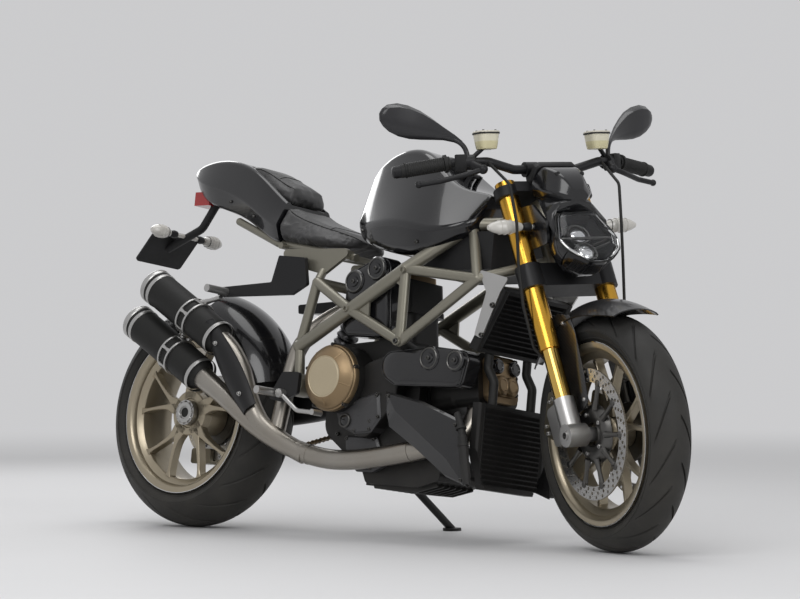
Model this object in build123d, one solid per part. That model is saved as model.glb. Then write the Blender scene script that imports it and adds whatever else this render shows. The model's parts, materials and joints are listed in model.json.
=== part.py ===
from build123d import *
import os
from functools import lru_cache
from math import atan2, cos, degrees, radians, sin, sqrt, tan

# Naked sport motorcycle with a ninety degree twin engine in a tube trellis frame.
# It is drawn upright with straight steering: +X forward, +Y to the rider's left, +Z up,
# with X zero midway between the axles and Z zero at the ground. At the end the front end is
# turned about the steering axis and the whole machine leans onto its side stand.
# Lengths are millimetres and angles are degrees.

# Stance and steering
WHEELBASE = 1475.0
RAKE = 24.0
TRAIL = 102.0
STEER_ANGLE = -23.5
STEER_STOP = 26.0
LEAN_ANGLE = 8.0

# Clearances: seated faces, running fits, moving pieces
SEAT_GAP = 0.3
RUN_GAP = 0.05
MOVE_GAP = 6.0

# Tyres and rims
RIM_DIAMETER = 431.8
FRONT_TYRE_WIDTH = 120.0
FRONT_ASPECT = 0.70
FRONT_RIM_WIDTH = 89.0
REAR_TYRE_WIDTH = 190.0
REAR_ASPECT = 0.55
REAR_RIM_WIDTH = 152.0
CROWN_SHARE = 0.53
SHOULDER_SHARE = 0.47
TYRE_WALL = 11.0
BEAD_SEAT = 2.0
FLANGE_HEIGHT = 14.0
FLANGE_THICK = 9.0
RIM_WALL = 9.0
WELL_DEPTH = 20.0

# Forked spokes and hubs
SPOKE_ARMS = 5
SPOKE_SPREAD = 19.0
SPOKE_TIP_WIDTH = 13.0
SPOKE_TAPER = 4.0
FRONT_HUB_RADIUS = 36.0
FRONT_HUB_HALF = 46.0
FRONT_SPOKE_DEPTH = 26.0
FRONT_SPOKE_ROOT = 40.0
REAR_HUB_RADIUS = 56.0
REAR_HUB_FACE = -60.0
REAR_HUB_INNER = 44.0
REAR_SPOKE_DEPTH = 34.0
REAR_SPOKE_ROOT = 52.0

# Axles
FRONT_AXLE_RADIUS = 12.5
FRONT_AXLE_BORE = 8.5
REAR_AXLE_RADIUS = 25.0
REAR_AXLE_BORE = 14.0
REAR_NUT_RADIUS = 36.0
REAR_NUT_WIDTH = 16.0

# Brakes
FRONT_DISC_RADIUS = 165.0
FRONT_DISC_BAND = 34.0
FRONT_DISC_Y = 64.0
DISC_THICK = 5.0
DISC_CARRIER_RADIUS = 74.0
DISC_ARMS = 10
REAR_DISC_RADIUS = 122.5
REAR_DISC_BAND = 42.0
REAR_DISC_Y = 58.0
CALIPER_LENGTH = 116.0
CALIPER_DEPTH = 62.0
CALIPER_WIDTH = 52.0
CALIPER_GAP = 2.0
CALIPER_TURN = 162.0
CALIPER_INSET = 16.0
REAR_CALIPER_SIZE = (78.0, 44.0)
REAR_CALIPER_PLACE = (-36.0, -114.0)
REAR_CALIPER_IN = 40.0

# Fork and bridges, measured along the steering axis up from the front axle
FORK_HALF_SPACING = 107.0
AXLE_LEAD = 15.0
FORK_TUBE_RADIUS = 27.0
STANCHION_RADIUS = 21.5
STANCHION_INSERT = 60.0
FORK_TOP = 716.0
FORK_TUBE_END = 240.0
STANCHION_END = 104.0
FOOT_RADIUS = 27.0
FOOT_LUG_HALF = 15.0
FOOT_LUG_SIZE = (64.0, 102.0)
FOOT_LUG_PLACE = (-38.0, 52.0)
FOOT_BELOW = 8.0
FOOT_BOSS_RADIUS = 29.0
FOOT_BOSS_IN = 84.0
FOOT_BOSS_OUT = 140.0
LOWER_CLAMP = (410.0, 474.0)
LOWER_WEB = (4.0, 74.0)
UPPER_CLAMP = (672.0, 700.0)
UPPER_WEB = (16.0, 92.0)
CLAMP_WALL = 8.0
STEM_RADIUS = 15.0
HEAD_TUBE_RADIUS = 36.0
HEAD_TOP_AT = 602.0
HEAD_LOW_AT = 499.0

# Front mudguard and fork guards
FENDER_CLEARANCE = 38.0
FENDER_HALF = 77.0
FENDER_DROP = 40.0
FENDER_WALL = 4.0
FENDER_FROM = -56.0
FENDER_TO = 37.0
GUARD_RADIUS = 34.0
GUARD_WALL = 3.0
GUARD_LOW = 46.0

# Handlebar and controls on the left, measured from the front axle: ahead, out, up
BAR_RADIUS = 12.0
BAR_BEND = 30.0
GRIP_RADIUS = 17.5
BAR_LINE = [(-282, 0, 685), (-282, 92, 685), (-281, 168, 706), (-327, 250, 707), (-375, 376, 689)]
RISER_Y = 42.0
RISER_RADIUS = 15.0
PERCH_RADIUS = 20.0
PERCH_SPAN = (34.0, 72.0)
LEVER_LINE = [(-259, 196, 685), (-263, 232, 674), (-297, 300, 658), (-313, 356, 650)]
LEVER_RADIUS = 7.0
CUP_PLACE = (-285.0, 168.0, 738.0)
CUP_RADIUS = 30.0
CUP_HEIGHT = 50.0
MIRROR_STALK = [(-306, 213, 716), (-309, 214, 752), (-345, 262, 780), (-359, 284, 790)]
MIRROR_STALK_RADIUS = 6.5
# Mirror sections: out, ahead, up, thickness, height, corner
MIRROR_SECTIONS = [
    (258, -347, 783, 16, 18, 7),
    (300, -367, 804, 32, 62, 14),
    (356, -385, 821, 34, 86, 15),
    (404, -395, 830, 18, 42, 8),
]

# Headlight, visor and turn signals, measured from the front axle
LAMP_CENTRE = (-85.0, 0.0, 497.0)
LAMP_NORMAL = (0.777, 0.0, 0.631)
LAMP_CORNER = 17.0
# Lens outline along the lens: full width, height
LAMP_OUTLINE = [(106, 84), (170, -4), (150, -46), (44, -84)]
# Bowl sections: distance behind the lens, scale
LAMP_SECTIONS = [(104, 0.5), (60, 0.88), (SEAT_GAP, 1.0)]
LENS_SECTIONS = [(0, 1.0), (-9, 0.95), (-16, 0.8)]
LAMP_WALL_SHARE = 0.07
LAMP_BRACKET = [(-269, 584), (-197, 588), (-133, 542), (-129, 486), (-225, 470)]
LAMP_BRACKET_Y = (83.0, 91.0)
LAMP_BRIDGE = (-165.0, 520.0)
# Visor sections: ahead, half width and height at the bottom, at the widest line and at the top, corner
NOSE_SECTIONS = [
    (-236, 60, 606, 70, 632, 52, 684, 12),
    (-176, 54, 598, 66, 622, 44, 678, 12),
    (-132, 36, 594, 48, 612, 26, 646, 9),
    (-116, 22, 594, 30, 606, 16, 622, 5),
]
# Turn signal sections: share of length, height, thickness
BLINKER_SECTIONS = [(0.0, 20, 22), (0.3, 34, 36), (0.7, 34, 34), (1.0, 12, 12)]
FRONT_BLINKER = {"root": (-201.0, 91.3, 532.0), "stalk": 34.0, "length": 96.0}
REAR_BLINKER = {"root": (-880.0, 12.3, 845.6), "stalk": 60.0, "length": 70.0}
# Brake hose from the lever's perch down to the caliper's end, on the left: ahead, out, up
BRAKE_HOSE_LINE = [
    (-279, 172, 707),
    (-180, 164, 640),
    (-166, 157, 540),
    (-166, 157, 440),
    (-160, 152, 330),
    (-152, 130, 220),
]
BRAKE_HOSE_IN = 80.0
BRAKE_HOSE_RISE = 50.0
BRAKE_HOSE_BEND = 26.0
BRAKE_HOSE_RADIUS = 4.0

# Trellis frame
MAIN_TUBE_RADIUS = 18.0
BRACE_TUBE_RADIUS = 14.0
FRAME_WIDE = 186.0
PIVOT = (-212.0, 392.0)
PIVOT_RADIUS = 14.0
BOSS_IN_RIGHT = 144.0
BOSS_IN_LEFT = 111.0
BOSS_OUT = 190.0
BOSS_RADIUS = 32.0
# Frame nodes: x, half width on the right, half width on the left, z
FRAME_NODES = {
    "shoulder": (306, 112, 112, 826),
    "crown": (150, FRAME_WIDE, FRAME_WIDE, 700),
    "nose": (366, 150, 150, 676),
    "mount": (152, FRAME_WIDE, FRAME_WIDE, 507),
    "middle": (-34, FRAME_WIDE, FRAME_WIDE, 594),
    "rear_top": (-182, 165, 165, 673),
    "rear_low": (-224, 166, 128, 498),
    "pivot": (PIVOT[0], 166, 128, PIVOT[1]),
}
# Frame tubes on each side: from node, to node, radius
FRAME_TUBES = [
    ("head_top", "shoulder", MAIN_TUBE_RADIUS),
    ("shoulder", "crown", MAIN_TUBE_RADIUS),
    ("crown", "middle", MAIN_TUBE_RADIUS),
    ("middle", "rear_low", MAIN_TUBE_RADIUS),
    ("crown", "nose", BRACE_TUBE_RADIUS),
    ("nose", "head_low", BRACE_TUBE_RADIUS),
    ("crown", "mount", BRACE_TUBE_RADIUS),
    ("mount", "nose", BRACE_TUBE_RADIUS),
    ("mount", "middle", BRACE_TUBE_RADIUS),
    ("shoulder", "nose", BRACE_TUBE_RADIUS),
    ("middle", "rear_top", BRACE_TUBE_RADIUS),
    ("rear_top", "rear_low", BRACE_TUBE_RADIUS),
    ("rear_low", "pivot", BRACE_TUBE_RADIUS),
]
# Corner webs: corner node, two neighbours, reach along the tubes
FRAME_GUSSETS = [
    ("crown", "mount", "middle", 52),
    ("mount", "crown", "middle", 48),
    ("middle", "mount", "crown", 78),
]
GUSSET_HALF = 3.0
WELD_BEAD = 0.5

# Rear subframe
SUBFRAME_PLATE = [(-372, 772), (-70, 768), (-182, 698), (-286, 722)]
SUBFRAME_IN = 134.0
SUBFRAME_OUT = 146.0
SUBFRAME_CROSS = [(-150, 755), (-380, 788)]
SUBFRAME_WEB_PLACE = (-180.0, -126.0, 752.0)
SUBFRAME_WEB_SIZE = (150.0, 28.0, 24.0)
SUBFRAME_LUG = (-188.0, 708.0)
RAIL_LINE = [(-90, 118, 745), (-420, 84, 800), (-610, 56, 873)]
RAIL_RADIUS = 11.0

# Engine: covers wrap round circles given as x, z, radius
CRANK = (40.0, 0.0, 385.0)
CYLINDER_TILTS = (8.0, 98.0)
CASE_HALF = 104.0
CASE_CIRCLES = [(-110, 300, 52), (-104, 452, 60), (66, 428, 98), (96, 310, 70), (-20, 260, 70)]
CLUTCH_CENTRE = (-84.0, 411.0)
CLUTCH_RADIUS = 92.0
CLUTCH_CASE_Y = 170.0
CLUTCH_LOBES = 10
# Clutch cover profile: distance out from the case, radius
CLUTCH_PROFILE = [
    (0, 92), (14, 92), (20, 86), (22, 74), (30, 72), (32, 66), (36, 64), (37, 40), (42, 36), (42, 12),
]
TIMING_CIRCLES = [(CRANK[0], CRANK[2], 78), (84, 440, 40), (10, 300, 44)]
TIMING_Y = 148.0
GENERATOR_CIRCLES = [(CRANK[0], CRANK[2], 62), (-20, 330, 40), (20, 460, 34)]
GENERATOR_Y = 172.0
ENGINE_LUG = (142.0, -60.0, 476.0)
ENGINE_LUG_RADIUS = 15.0
SUMP_OUTLINE = [(-50, 220), (-10, 140), (170, 134), (262, 160), (150, 260)]
SUMP_HALF = 90.0
SUMP_RIBS = 7
SUMP_RIB_PITCH = 24.0
SUMP_RIB_OUTLINE = [(0, 150), (10, 128), (160, 123), (236, 142), (200, 160)]
HEAD_END = 303.0
HEAD_WIDTH = 164.0
HEAD_TALL = 136.0
# Cylinder steps along the axis: start, end, width, height, corner
CYLINDER_STEPS = [
    (78, 126, 156, 146, 22),
    (126, 132, 144, 134, 26),
    (132, 212, 138, 128, 30),
    (212, 226, 164, 136, 18),
    (226, HEAD_END, HEAD_WIDTH, HEAD_TALL, 22),
]
COVER_LENGTH = 26.0
COVER_WIDTH = 124.0
COVER_TALL = 122.0
BELT_IN = 104.6
BELT_OUT = 158.0
FRONT_BELT_CIRCLES = [(112, 446, 40), (132, 424, 30), (246, 466, 33), (334, 460, 30), (330, 416, 24)]
REAR_BELT_CIRCLES = [(-46, 556, 30), (56, 552, 30), (-40, 672, 34), (36, 706, 34), (46, 660, 28)]
BELT_POSTS = [(-18, 660), (24, 660), (284, 440), (316, 440)]

# Bodywork sections: x, half width and z at the bottom, at the widest line and at the top, corner
TANK_SECTIONS = [
    (-138, 48, 838, 60, 876, 42, 938, 16),
    (-92, 98, 798, 114, 836, 54, 1006, 24),
    (-20, 132, 772, 152, 830, 64, 1044, 28),
    (96, 160, 746, 186, 828, 74, 1036, 28),
    (204, 178, 752, 196, 808, 104, 958, 22),
    (262, 168, 774, 188, 806, 104, 926, 16),
    (334, 98, 816, 114, 840, 86, 906, 14),
]
SEAT_SECTIONS = [
    (-142, 44, 784, 48, 794, 38, 810, 5),
    (-200, 100, 778, 116, 800, 84, 830, 9),
    (-300, 112, 788, 130, 816, 96, 862, 12),
    (-396, 108, 806, 126, 842, 92, 908, 14),
]
PILLION_SECTIONS = [
    (-400, 70, 912, 78, 930, 58, 966, 8),
    (-500, 66, 944, 76, 968, 56, 1012, 10),
    (-580, 56, 978, 64, 1000, 50, 1036, 9),
    (-632, 42, 1004, 46, 1012, 36, 1024, 4),
]
TAIL_SECTIONS = [
    (-400, 104, 800, 124, 848, 86, 918, 14),
    (-520, 78, 850, 100, 900, 80, 1000, 14),
    (-664, 52, 906, 76, 962, 62, 1053, 14),
    (-808, 24, 966, 42, 1004, 32, 1048, 9),
    (-848, 8, 1020, 16, 1028, 12, 1038, 3),
]
LIGHT_PLACE = (-800.0, 0.0, 952.0)
LIGHT_SIZE = (60.0, 60.0, 40.0)
CAP_PLACE = (150.0, 998.0)
CAP_TILT = 34.0
CAP_RADIUS = 46.0
CAP_THICK = 14.0
CAP_HINGE_OUT = 54.0
CAP_PIN_RADIUS = 3.5
CAP_BARREL_RADIUS = 6.0
CAP_BARREL_HALF = 15.0
CAP_EAR_THICK = 6.0
AIRBOX_SPAN = (125.0, 387.0)
AIRBOX_HALF = 124.0
AIRBOX_LOW = 705.0
AIRBOX_HIGH = 805.0
HANGER_LINE = [(-742, 0, 975), (-818, 0, 868), (-955, 0, 812)]
HANGER_RADIUS = 12.0
PLATE_SIZE = (6.0, 180.0, 120.0)
PLATE_TILT = 40.0

# Rear arm, drive, damper and guard
ARM_BARREL_RADIUS = 30.0
ARM_CORNER = 18.0
# Arm sections from pivot to axle: share of the way, inner y, outer y, depth below and above the line
ARM_SECTIONS = [
    (0.0, 40, 108, 27, 27),
    (0.26, 98, 148, 40, 60),
    (0.6, 106, 148, 42, 52),
    (0.97, 106, 148, 40, 46),
]
SWINGARM_HUB_RADIUS = 78.0
SWINGARM_HUB_IN = 82.0
SWINGARM_HUB_OUT = 148.0
DRIVE_Y = 164.0
FRONT_SPROCKET = (-118.0, 396.0)
FRONT_SPROCKET_RADIUS = 38.0
REAR_SPROCKET_RADIUS = 112.0
REAR_SPROCKET_TEETH = 40
SPROCKET_THICK = 7.0
SPROCKET_TOOTH = 4.0
CHAIN_WIDTH = 16.0
CHAIN_HEIGHT = 14.0
CHAIN_RUN_GAP = 0.5
SHOCK_TOP = (-182.0, 673.0)
SHOCK_FOOT = (-300.0, 436.0)
SHOCK_Y = 40.0
SHOCK_COILS = 7
SHOCK_CORE = 23.0
SHOCK_WIRE = 9.0
HUGGER_CLEARANCE = 36.0
HUGGER_HALF = 102.0
HUGGER_DROP = 58.0
HUGGER_FROM = 14.0
HUGGER_TO = 74.0

# Exhaust
MUFFLER_RADIUS = 50.0
MUFFLER_LENGTH = 330.0
MUFFLER_TILT = 29.0
MUFFLER_Y = -172.0
UPPER_MUFFLER_FRONT = (-520.0, 512.0)
MUFFLER_SPACING = 118.0
# Muffler profile: share of the length, share of the radius, ending inside the tail
MUFFLER_PROFILE = [
    (0.0, 0.62), (0.06, 0.94), (0.1, 1.0), (0.96, 1.0), (1.0, 0.94), (1.0, 0.74), (0.9, 0.68), (0.88, 0.0),
]
CLAMP_AT = 0.4
CLAMP_BAND = 10.0
PIPE_RADIUS = 26.0
FRONT_HEADER = [
    (300, -24, 364), (300, -24, 280), (230, -136, 232), (0, -136, 196), (-150, -134, 196), (-320, -164, 250),
]
REAR_HEADER = [(-40, -24, 640), (-150, -24, 640), (-270, -110, 540), (-296, -126, 400), (-300, -150, 232)]
UPPER_PIPE_VIA = (-382.0, -170.0, 330.0)
HEADER_BEND = 60.0
UPPER_PIPE_BEND = 50.0
REAR_HEADER_BEND = 45.0

# Cooling
RADIATOR_THICK = 30.0
RADIATOR_HALF = 146.0
UPPER_RADIATOR = (404.0, 0.0, 573.0)
UPPER_RADIATOR_TILT = 28.0
UPPER_RADIATOR_TALL = 176.0
LOWER_RADIATOR = (394.0, 0.0, 246.0)
LOWER_RADIATOR_TALL = 220.0
LOWER_RADIATOR_CORNER = (46.0, 104.0)
RADIATOR_BRACKET = [(368, 700), (470, 676), (446, 640), (396, 520), (372, 530), (400, 640)]
HOSE_LINE = [(370, -80, 520), (370, -80, 452), (394, -80, 416), (394, -80, 356)]
HOSE_RADIUS = 12.0
SHROUD_OUTLINE = [(108, 378), (376, 304), (408, 136), (315, 160), (126, 286)]
SHROUD_IN = 166.0
SHROUD_OUT = 188.0
SHROUD_POST = ((120.0, 318.0), (150.0, 312.0))
# Belly panel sections: share of the way out, scale of the outline
SHROUD_SECTIONS = [(0.0, 1.0), (0.4, 0.97), (1.0, 0.74)]

# Footrests
STEP_ARM = [(-330, 750), (-232, 742), (-216, 668), (-270, 640), (-552, 638), (-556, 664), (-350, 676)]
STEP_ARM_Y = (160.0, 172.0)
STEP_LOW = 638.0
STEP_SPACERS = [(-300, 734), (-250, 726)]
RIDER_STEP = [(-246, 424), (-184, 424), (-186, 366), (-240, 342), (-292, 350)]
RIDER_STEP_THICK = 12.0
PEG_RADIUS = 11.0
PEG_LENGTH = 78.0
RIDER_PEG = (-262.0, 366.0)
PASSENGER_PEG = (-520.0, 651.0)
PEDAL_LINE = [(-236, 364), (-170, 318), (-84, 312)]
PEDAL_RADIUS = 6.0

# Side stand: pivot on the left of the cases, foot on the ground
STAND_PIVOT = (-118.0, 130.0, 214.0)
STAND_FOOT_PLACE = (-62.0, 352.0)
STAND_STUD_RADIUS = 8.0
STAND_EYE_RADIUS = 20.0
STAND_EYE_HALF = 12.0
STAND_SWING = 95.0
STAND_LEG_RADIUS = 11.0
STAND_FOOT_THICK = 8.0
STAND_FOOT_RADIUS = 26.0
STAND_BRACKET_PLACE = (-118.0, 80.0, 200.0)
STAND_BRACKET_SIZE = (46.0, 40.0, 110.0)

# Derived places
BEAD_RADIUS = RIM_DIAMETER / 2 + BEAD_SEAT
FLANGE_RADIUS = BEAD_RADIUS + FLANGE_HEIGHT
FRONT_TYRE_RADIUS = RIM_DIAMETER / 2 + FRONT_ASPECT * FRONT_TYRE_WIDTH
REAR_TYRE_RADIUS = RIM_DIAMETER / 2 + REAR_ASPECT * REAR_TYRE_WIDTH
FENDER_RADIUS = FRONT_TYRE_RADIUS + FENDER_CLEARANCE
HUGGER_RADIUS = REAR_TYRE_RADIUS + HUGGER_CLEARANCE
GUARD_HIGH = FRONT_TYRE_RADIUS
REAR_AXLE = Vector(-WHEELBASE / 2, 0, REAR_TYRE_RADIUS)
FRONT_AXLE = Vector(WHEELBASE / 2, 0, FRONT_TYRE_RADIUS)
STEER_UP = Vector(-sin(radians(RAKE)), 0, cos(radians(RAKE)))
STEER_AHEAD = Vector(cos(radians(RAKE)), 0, sin(radians(RAKE)))
FORK_OFFSET = FRONT_TYRE_RADIUS * sin(radians(RAKE)) - TRAIL * cos(radians(RAKE))
FORK_AHEAD = FORK_OFFSET - AXLE_LEAD
FORK_FRAME = Plane(origin=STEER_AHEAD * -FORK_OFFSET, x_dir=STEER_AHEAD, z_dir=STEER_UP)
STEER_AXIS = Axis(FRONT_AXLE - STEER_AHEAD * FORK_OFFSET, STEER_UP)
CAP_FRAME = Plane(
    origin=(CAP_PLACE[0], 0, CAP_PLACE[1]),
    x_dir=(cos(radians(CAP_TILT)), 0, -sin(radians(CAP_TILT))),
    z_dir=(sin(radians(CAP_TILT)), 0, cos(radians(CAP_TILT))),
)
CAP_HINGE = CAP_FRAME.from_local_coords(Vector(CAP_HINGE_OUT, 0, CAP_THICK))
RIDER_STEP_FACE = BOSS_OUT + RIDER_STEP_THICK
BASE = (Align.CENTER, Align.CENTER, Align.MIN)


# Standing on the ground
def turned(point):
    """A point of the front end after the handlebar is turned."""
    return Vertex(*point).rotate(STEER_AXIS, STEER_ANGLE).center()


def lowest(place, centre, axis, radius, width):
    """Height of the lowest point of a round-crowned tyre after placing."""
    crown = CROWN_SHARE * width
    middle = (place * Location(centre)).position
    tip = (place * Location(centre + axis)).position - middle
    return middle.Z - (radius - crown) * sqrt(1 - tip.Z**2) - crown


def ground_placement():
    """Lean, pitch and drop that stand both tyres on the ground."""
    front = turned(FRONT_AXLE)
    axle = turned(FRONT_AXLE + Vector(0, 1, 0)) - front
    pitch, drop = 0.0, 0.0
    for _ in range(8):
        place = Pos(0, 0, drop) * Rot(X=-LEAN_ANGLE) * Rot(Y=pitch)
        front_low = lowest(place, front, axle, FRONT_TYRE_RADIUS, FRONT_TYRE_WIDTH)
        rear_low = lowest(place, REAR_AXLE, Vector(0, 1, 0), REAR_TYRE_RADIUS, REAR_TYRE_WIDTH)
        pitch += degrees(atan2(front_low - rear_low, WHEELBASE))
        drop -= rear_low
    return Pos(0, 0, drop) * Rot(X=-LEAN_ANGLE) * Rot(Y=pitch)


TO_GROUND = ground_placement()
FROM_GROUND = TO_GROUND.inverse()
STAND_FOOT = (FROM_GROUND * Location((*STAND_FOOT_PLACE, 0))).position
STAND_AXIS = (STAND_FOOT - Vector(*STAND_PIVOT)).cross(Vector(-1, 0, 0)).normalized()


# Shapes used by many pieces
def rod(start, end, radius):
    """Round bar from one point to another."""
    a, b = Vector(*start), Vector(*end)
    return Part() + Solid.make_cylinder(radius, (b - a).length, Plane(a, z_dir=b - a))


def cross_bar(x, z, y_from, y_to, radius):
    """Round bar across the machine."""
    return rod((x, y_from, z), (x, y_to, z), radius)


def ball(centre, radius):
    """Ball that rounds off the meeting of bars."""
    return Pos(*centre) * Sphere(radius)


def join(shapes):
    """One piece from overlapping shapes."""
    return Part() + list(shapes)


def both_sides(shape):
    """A piece of one side with its mirror image on the other."""
    return Part() + [shape, mirror(shape, about=Plane.XZ)]


def sided(points, side):
    """Points of the left side, or mirrored to the right."""
    return [(x, side * y, z) for x, y, z in points]


def bent_tube(points, radius, bend):
    """Tube along straight runs joined by arcs."""
    path = FilletPolyline(*points, radius=bend)
    return Part() + sweep(Plane(path @ 0, z_dir=path % 0) * Circle(radius), path=path)


def plate_xz(points, y_low, y_high, corner=0.0):
    """Flat plate with an outline in X and Z, from y_low to y_high."""
    face = make_face(Polyline(*points, close=True))
    if corner:
        face = fillet(face.vertices(), corner)
    return Pos(0, y_high, 0) * extrude(Plane.XZ * face, y_high - y_low)


def round_hull(circles, y_low, y_high, edge=0.0):
    """Cover whose outline wraps round circles given as x, z, radius, with its outer edge rounded."""
    edges = []
    for x, z, radius in circles:
        edges += (Pos(x, z) * Circle(radius)).edges()
    cover = Pos(0, y_high, 0) * extrude(Plane.XZ * make_hull(edges), y_high - y_low)
    if edge:
        outer = cover.faces().sort_by(Axis.Y)[0 if y_low < 0 else -1]
        cover = fillet(outer.edges(), edge)
    return cover


def body_of_sections(rows):
    """Lofted body of six-sided cross-sections with rounded corners, one for each row of a table."""
    faces = []
    for x, low_half, z_low, wide_half, z_wide, top_half, z_high, corner in rows:
        right = [(low_half, z_low), (wide_half, z_wide), (top_half, z_high)]
        left = [(-half, z) for half, z in reversed(right)]
        outline = make_face(Polyline(*right, *left, close=True))
        plane = Plane(origin=(x, 0, 0), x_dir=(0, 1, 0), z_dir=(1, 0, 0))
        faces.append(plane * fillet(outline.vertices(), corner))
    return Part() + loft(faces)


def grown(rows):
    """Body sections grown by the seating gap."""
    g = SEAT_GAP
    return [
        (x, low + g, z_low - g, wide + g, z_wide, top + g, z_high + g, corner)
        for x, low, z_low, wide, z_wide, top, z_high, corner in rows
    ]


def arch_shell(radius, half_width, drop, wall, angle_from, angle_to):
    """Curved mudguard about the Y axis, with angles measured forward from straight up."""
    edge = radius - drop
    lines = [
        ThreePointArc((-half_width, edge), (0, radius), (half_width, edge)),
        Line((half_width, edge), (half_width - wall, edge)),
        ThreePointArc((half_width - wall, edge), (0, radius - wall), (-half_width + wall, edge)),
        Line((-half_width + wall, edge), (-half_width, edge)),
    ]
    return Rot(Y=angle_from) * revolve(Plane.YZ * make_face(lines), Axis.Y, angle_to - angle_from)


def blinkers(root, stalk, length):
    """A pair of turn signals pointing sideways: stalk from the root, then a rounded body."""
    x, y, z = root
    stem = rod((x, -y, z), (x, -y - stalk - 6, z), 6)
    faces = []
    for share, tall, thick in BLINKER_SECTIONS:
        plane = Plane(origin=(x, -y - stalk - share * length, z), x_dir=(1, 0, 0), z_dir=(0, -1, 0))
        faces.append(plane * RectangleRounded(thick, tall, 0.45 * min(thick, tall)))
    return both_sides(stem + loft(faces))


# Wheels, drawn about the Y axis at the origin
def tyre(radius, width, rim_width):
    """Tyre: round crown, bulged walls, hollow inside."""
    crown = CROWN_SHARE * width
    shoulder_y = SHOULDER_SHARE * width
    shoulder_r = radius - crown + sqrt(crown**2 - shoulder_y**2)
    bead_y = rim_width / 2 - SEAT_GAP
    bead_r = BEAD_RADIUS + SEAT_GAP
    lip_r = FLANGE_RADIUS + 3
    wall_r = (shoulder_r + FLANGE_RADIUS) / 2
    inner_y = bead_y - TYRE_WALL
    lines = [
        ThreePointArc((-shoulder_y, shoulder_r), (0, radius), (shoulder_y, shoulder_r)),
        ThreePointArc((shoulder_y, shoulder_r), (width / 2, wall_r), (bead_y, lip_r)),
        Line((bead_y, lip_r), (bead_y, bead_r)),
        Line((bead_y, bead_r), (inner_y, bead_r)),
        ThreePointArc((inner_y, bead_r), (0, radius - TYRE_WALL), (-inner_y, bead_r)),
        Line((-inner_y, bead_r), (-bead_y, bead_r)),
        Line((-bead_y, bead_r), (-bead_y, lip_r)),
        ThreePointArc((-bead_y, lip_r), (-width / 2, wall_r), (-shoulder_y, shoulder_r)),
    ]
    return revolve(Plane.YZ * make_face(lines), Axis.Y)


def rim_barrel(rim_width):
    """Rim with flanges and a drop centre."""
    half = rim_width / 2
    well_r = BEAD_RADIUS - WELL_DEPTH
    right = [
        (0.34 * rim_width, well_r),
        (0.42 * rim_width, BEAD_RADIUS - 2),
        (half, BEAD_RADIUS),
        (half, FLANGE_RADIUS),
        (half + FLANGE_THICK, FLANGE_RADIUS),
        (half + FLANGE_THICK, BEAD_RADIUS),
        (half, BEAD_RADIUS - RIM_WALL),
        (0.44 * rim_width, BEAD_RADIUS - RIM_WALL - 2),
        (0.36 * rim_width, well_r - RIM_WALL),
    ]
    left = [(-y, r) for y, r in reversed(right)]
    return revolve(Plane.YZ * make_face(Polyline(*right, *left, close=True)), Axis.Y)


def forked_spokes(hub_radius, y_face, depth, root_width):
    """Arms that leave the hub and fork towards the rim, from y_face inwards by depth."""
    reach = BEAD_RADIUS - WELL_DEPTH - RIM_WALL / 2
    root = hub_radius - 8
    legs = []
    for arm in range(SPOKE_ARMS):
        turn = 90 + arm * 360 / SPOKE_ARMS
        for side in (-1, 1):
            tip = Vector(reach, 0).rotate(Axis.Z, side * SPOKE_SPREAD)
            across = Vector(0, SPOKE_TIP_WIDTH / 2).rotate(Axis.Z, side * SPOKE_SPREAD)
            corners = [(root, -root_width / 2), tip - across, tip + across, (root, root_width / 2)]
            face = make_face(Polyline(*corners, close=True))
            legs.append(extrude(Plane.XZ * (Rot(Z=turn) * face), depth, taper=SPOKE_TAPER))
    return Pos(0, y_face + depth, 0) * join(legs)


def wheel(rim_width, hub_radius, hub_span, spoke_face, spoke_depth, spoke_root, bore_radius):
    """Cast wheel: rim, forked spokes and bored hub."""
    spokes = forked_spokes(hub_radius, spoke_face, spoke_depth, spoke_root)
    low, high = hub_span
    hub = cross_bar(0, 0, low, high, hub_radius)
    return join([rim_barrel(rim_width), spokes, hub]) - cross_bar(0, 0, low - 1, high + 1, bore_radius)


def front_rim():
    span = (-FRONT_HUB_HALF, FRONT_HUB_HALF)
    face = -FRONT_SPOKE_DEPTH / 2
    bore = FRONT_AXLE_RADIUS + RUN_GAP
    return wheel(FRONT_RIM_WIDTH, FRONT_HUB_RADIUS, span, face, FRONT_SPOKE_DEPTH, FRONT_SPOKE_ROOT, bore)


def rear_rim():
    span = (REAR_HUB_FACE, REAR_HUB_INNER)
    bore = REAR_AXLE_RADIUS + SEAT_GAP
    face = REAR_HUB_FACE
    return wheel(REAR_RIM_WIDTH, REAR_HUB_RADIUS, span, face, REAR_SPOKE_DEPTH, REAR_SPOKE_ROOT, bore)


def brake_ring(radius, band, y_middle):
    """Flat brake ring."""
    low, high = y_middle - DISC_THICK / 2, y_middle + DISC_THICK / 2
    return cross_bar(0, 0, low, high, radius) - cross_bar(0, 0, low - 1, high + 1, radius - band)


def front_discs():
    """Two brake rings, each on a spoked carrier bolted to the hub."""
    low = FRONT_HUB_HALF + SEAT_GAP
    carrier = cross_bar(0, 0, low, FRONT_DISC_Y + DISC_THICK / 2, DISC_CARRIER_RADIUS)
    carrier -= cross_bar(0, 0, low - 1, FRONT_DISC_Y + DISC_THICK, FRONT_HUB_RADIUS - 6)
    inner, outer = DISC_CARRIER_RADIUS - 5, FRONT_DISC_RADIUS - FRONT_DISC_BAND + 8
    arms = []
    for k in range(DISC_ARMS):
        arm = Pos((inner + outer) / 2, FRONT_DISC_Y, 0) * Box(outer - inner, DISC_THICK, 16)
        arms.append(Rot(Y=k * 360 / DISC_ARMS) * arm)
    ring = brake_ring(FRONT_DISC_RADIUS, FRONT_DISC_BAND, FRONT_DISC_Y)
    return both_sides(join([ring, carrier, *arms]))


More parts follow.
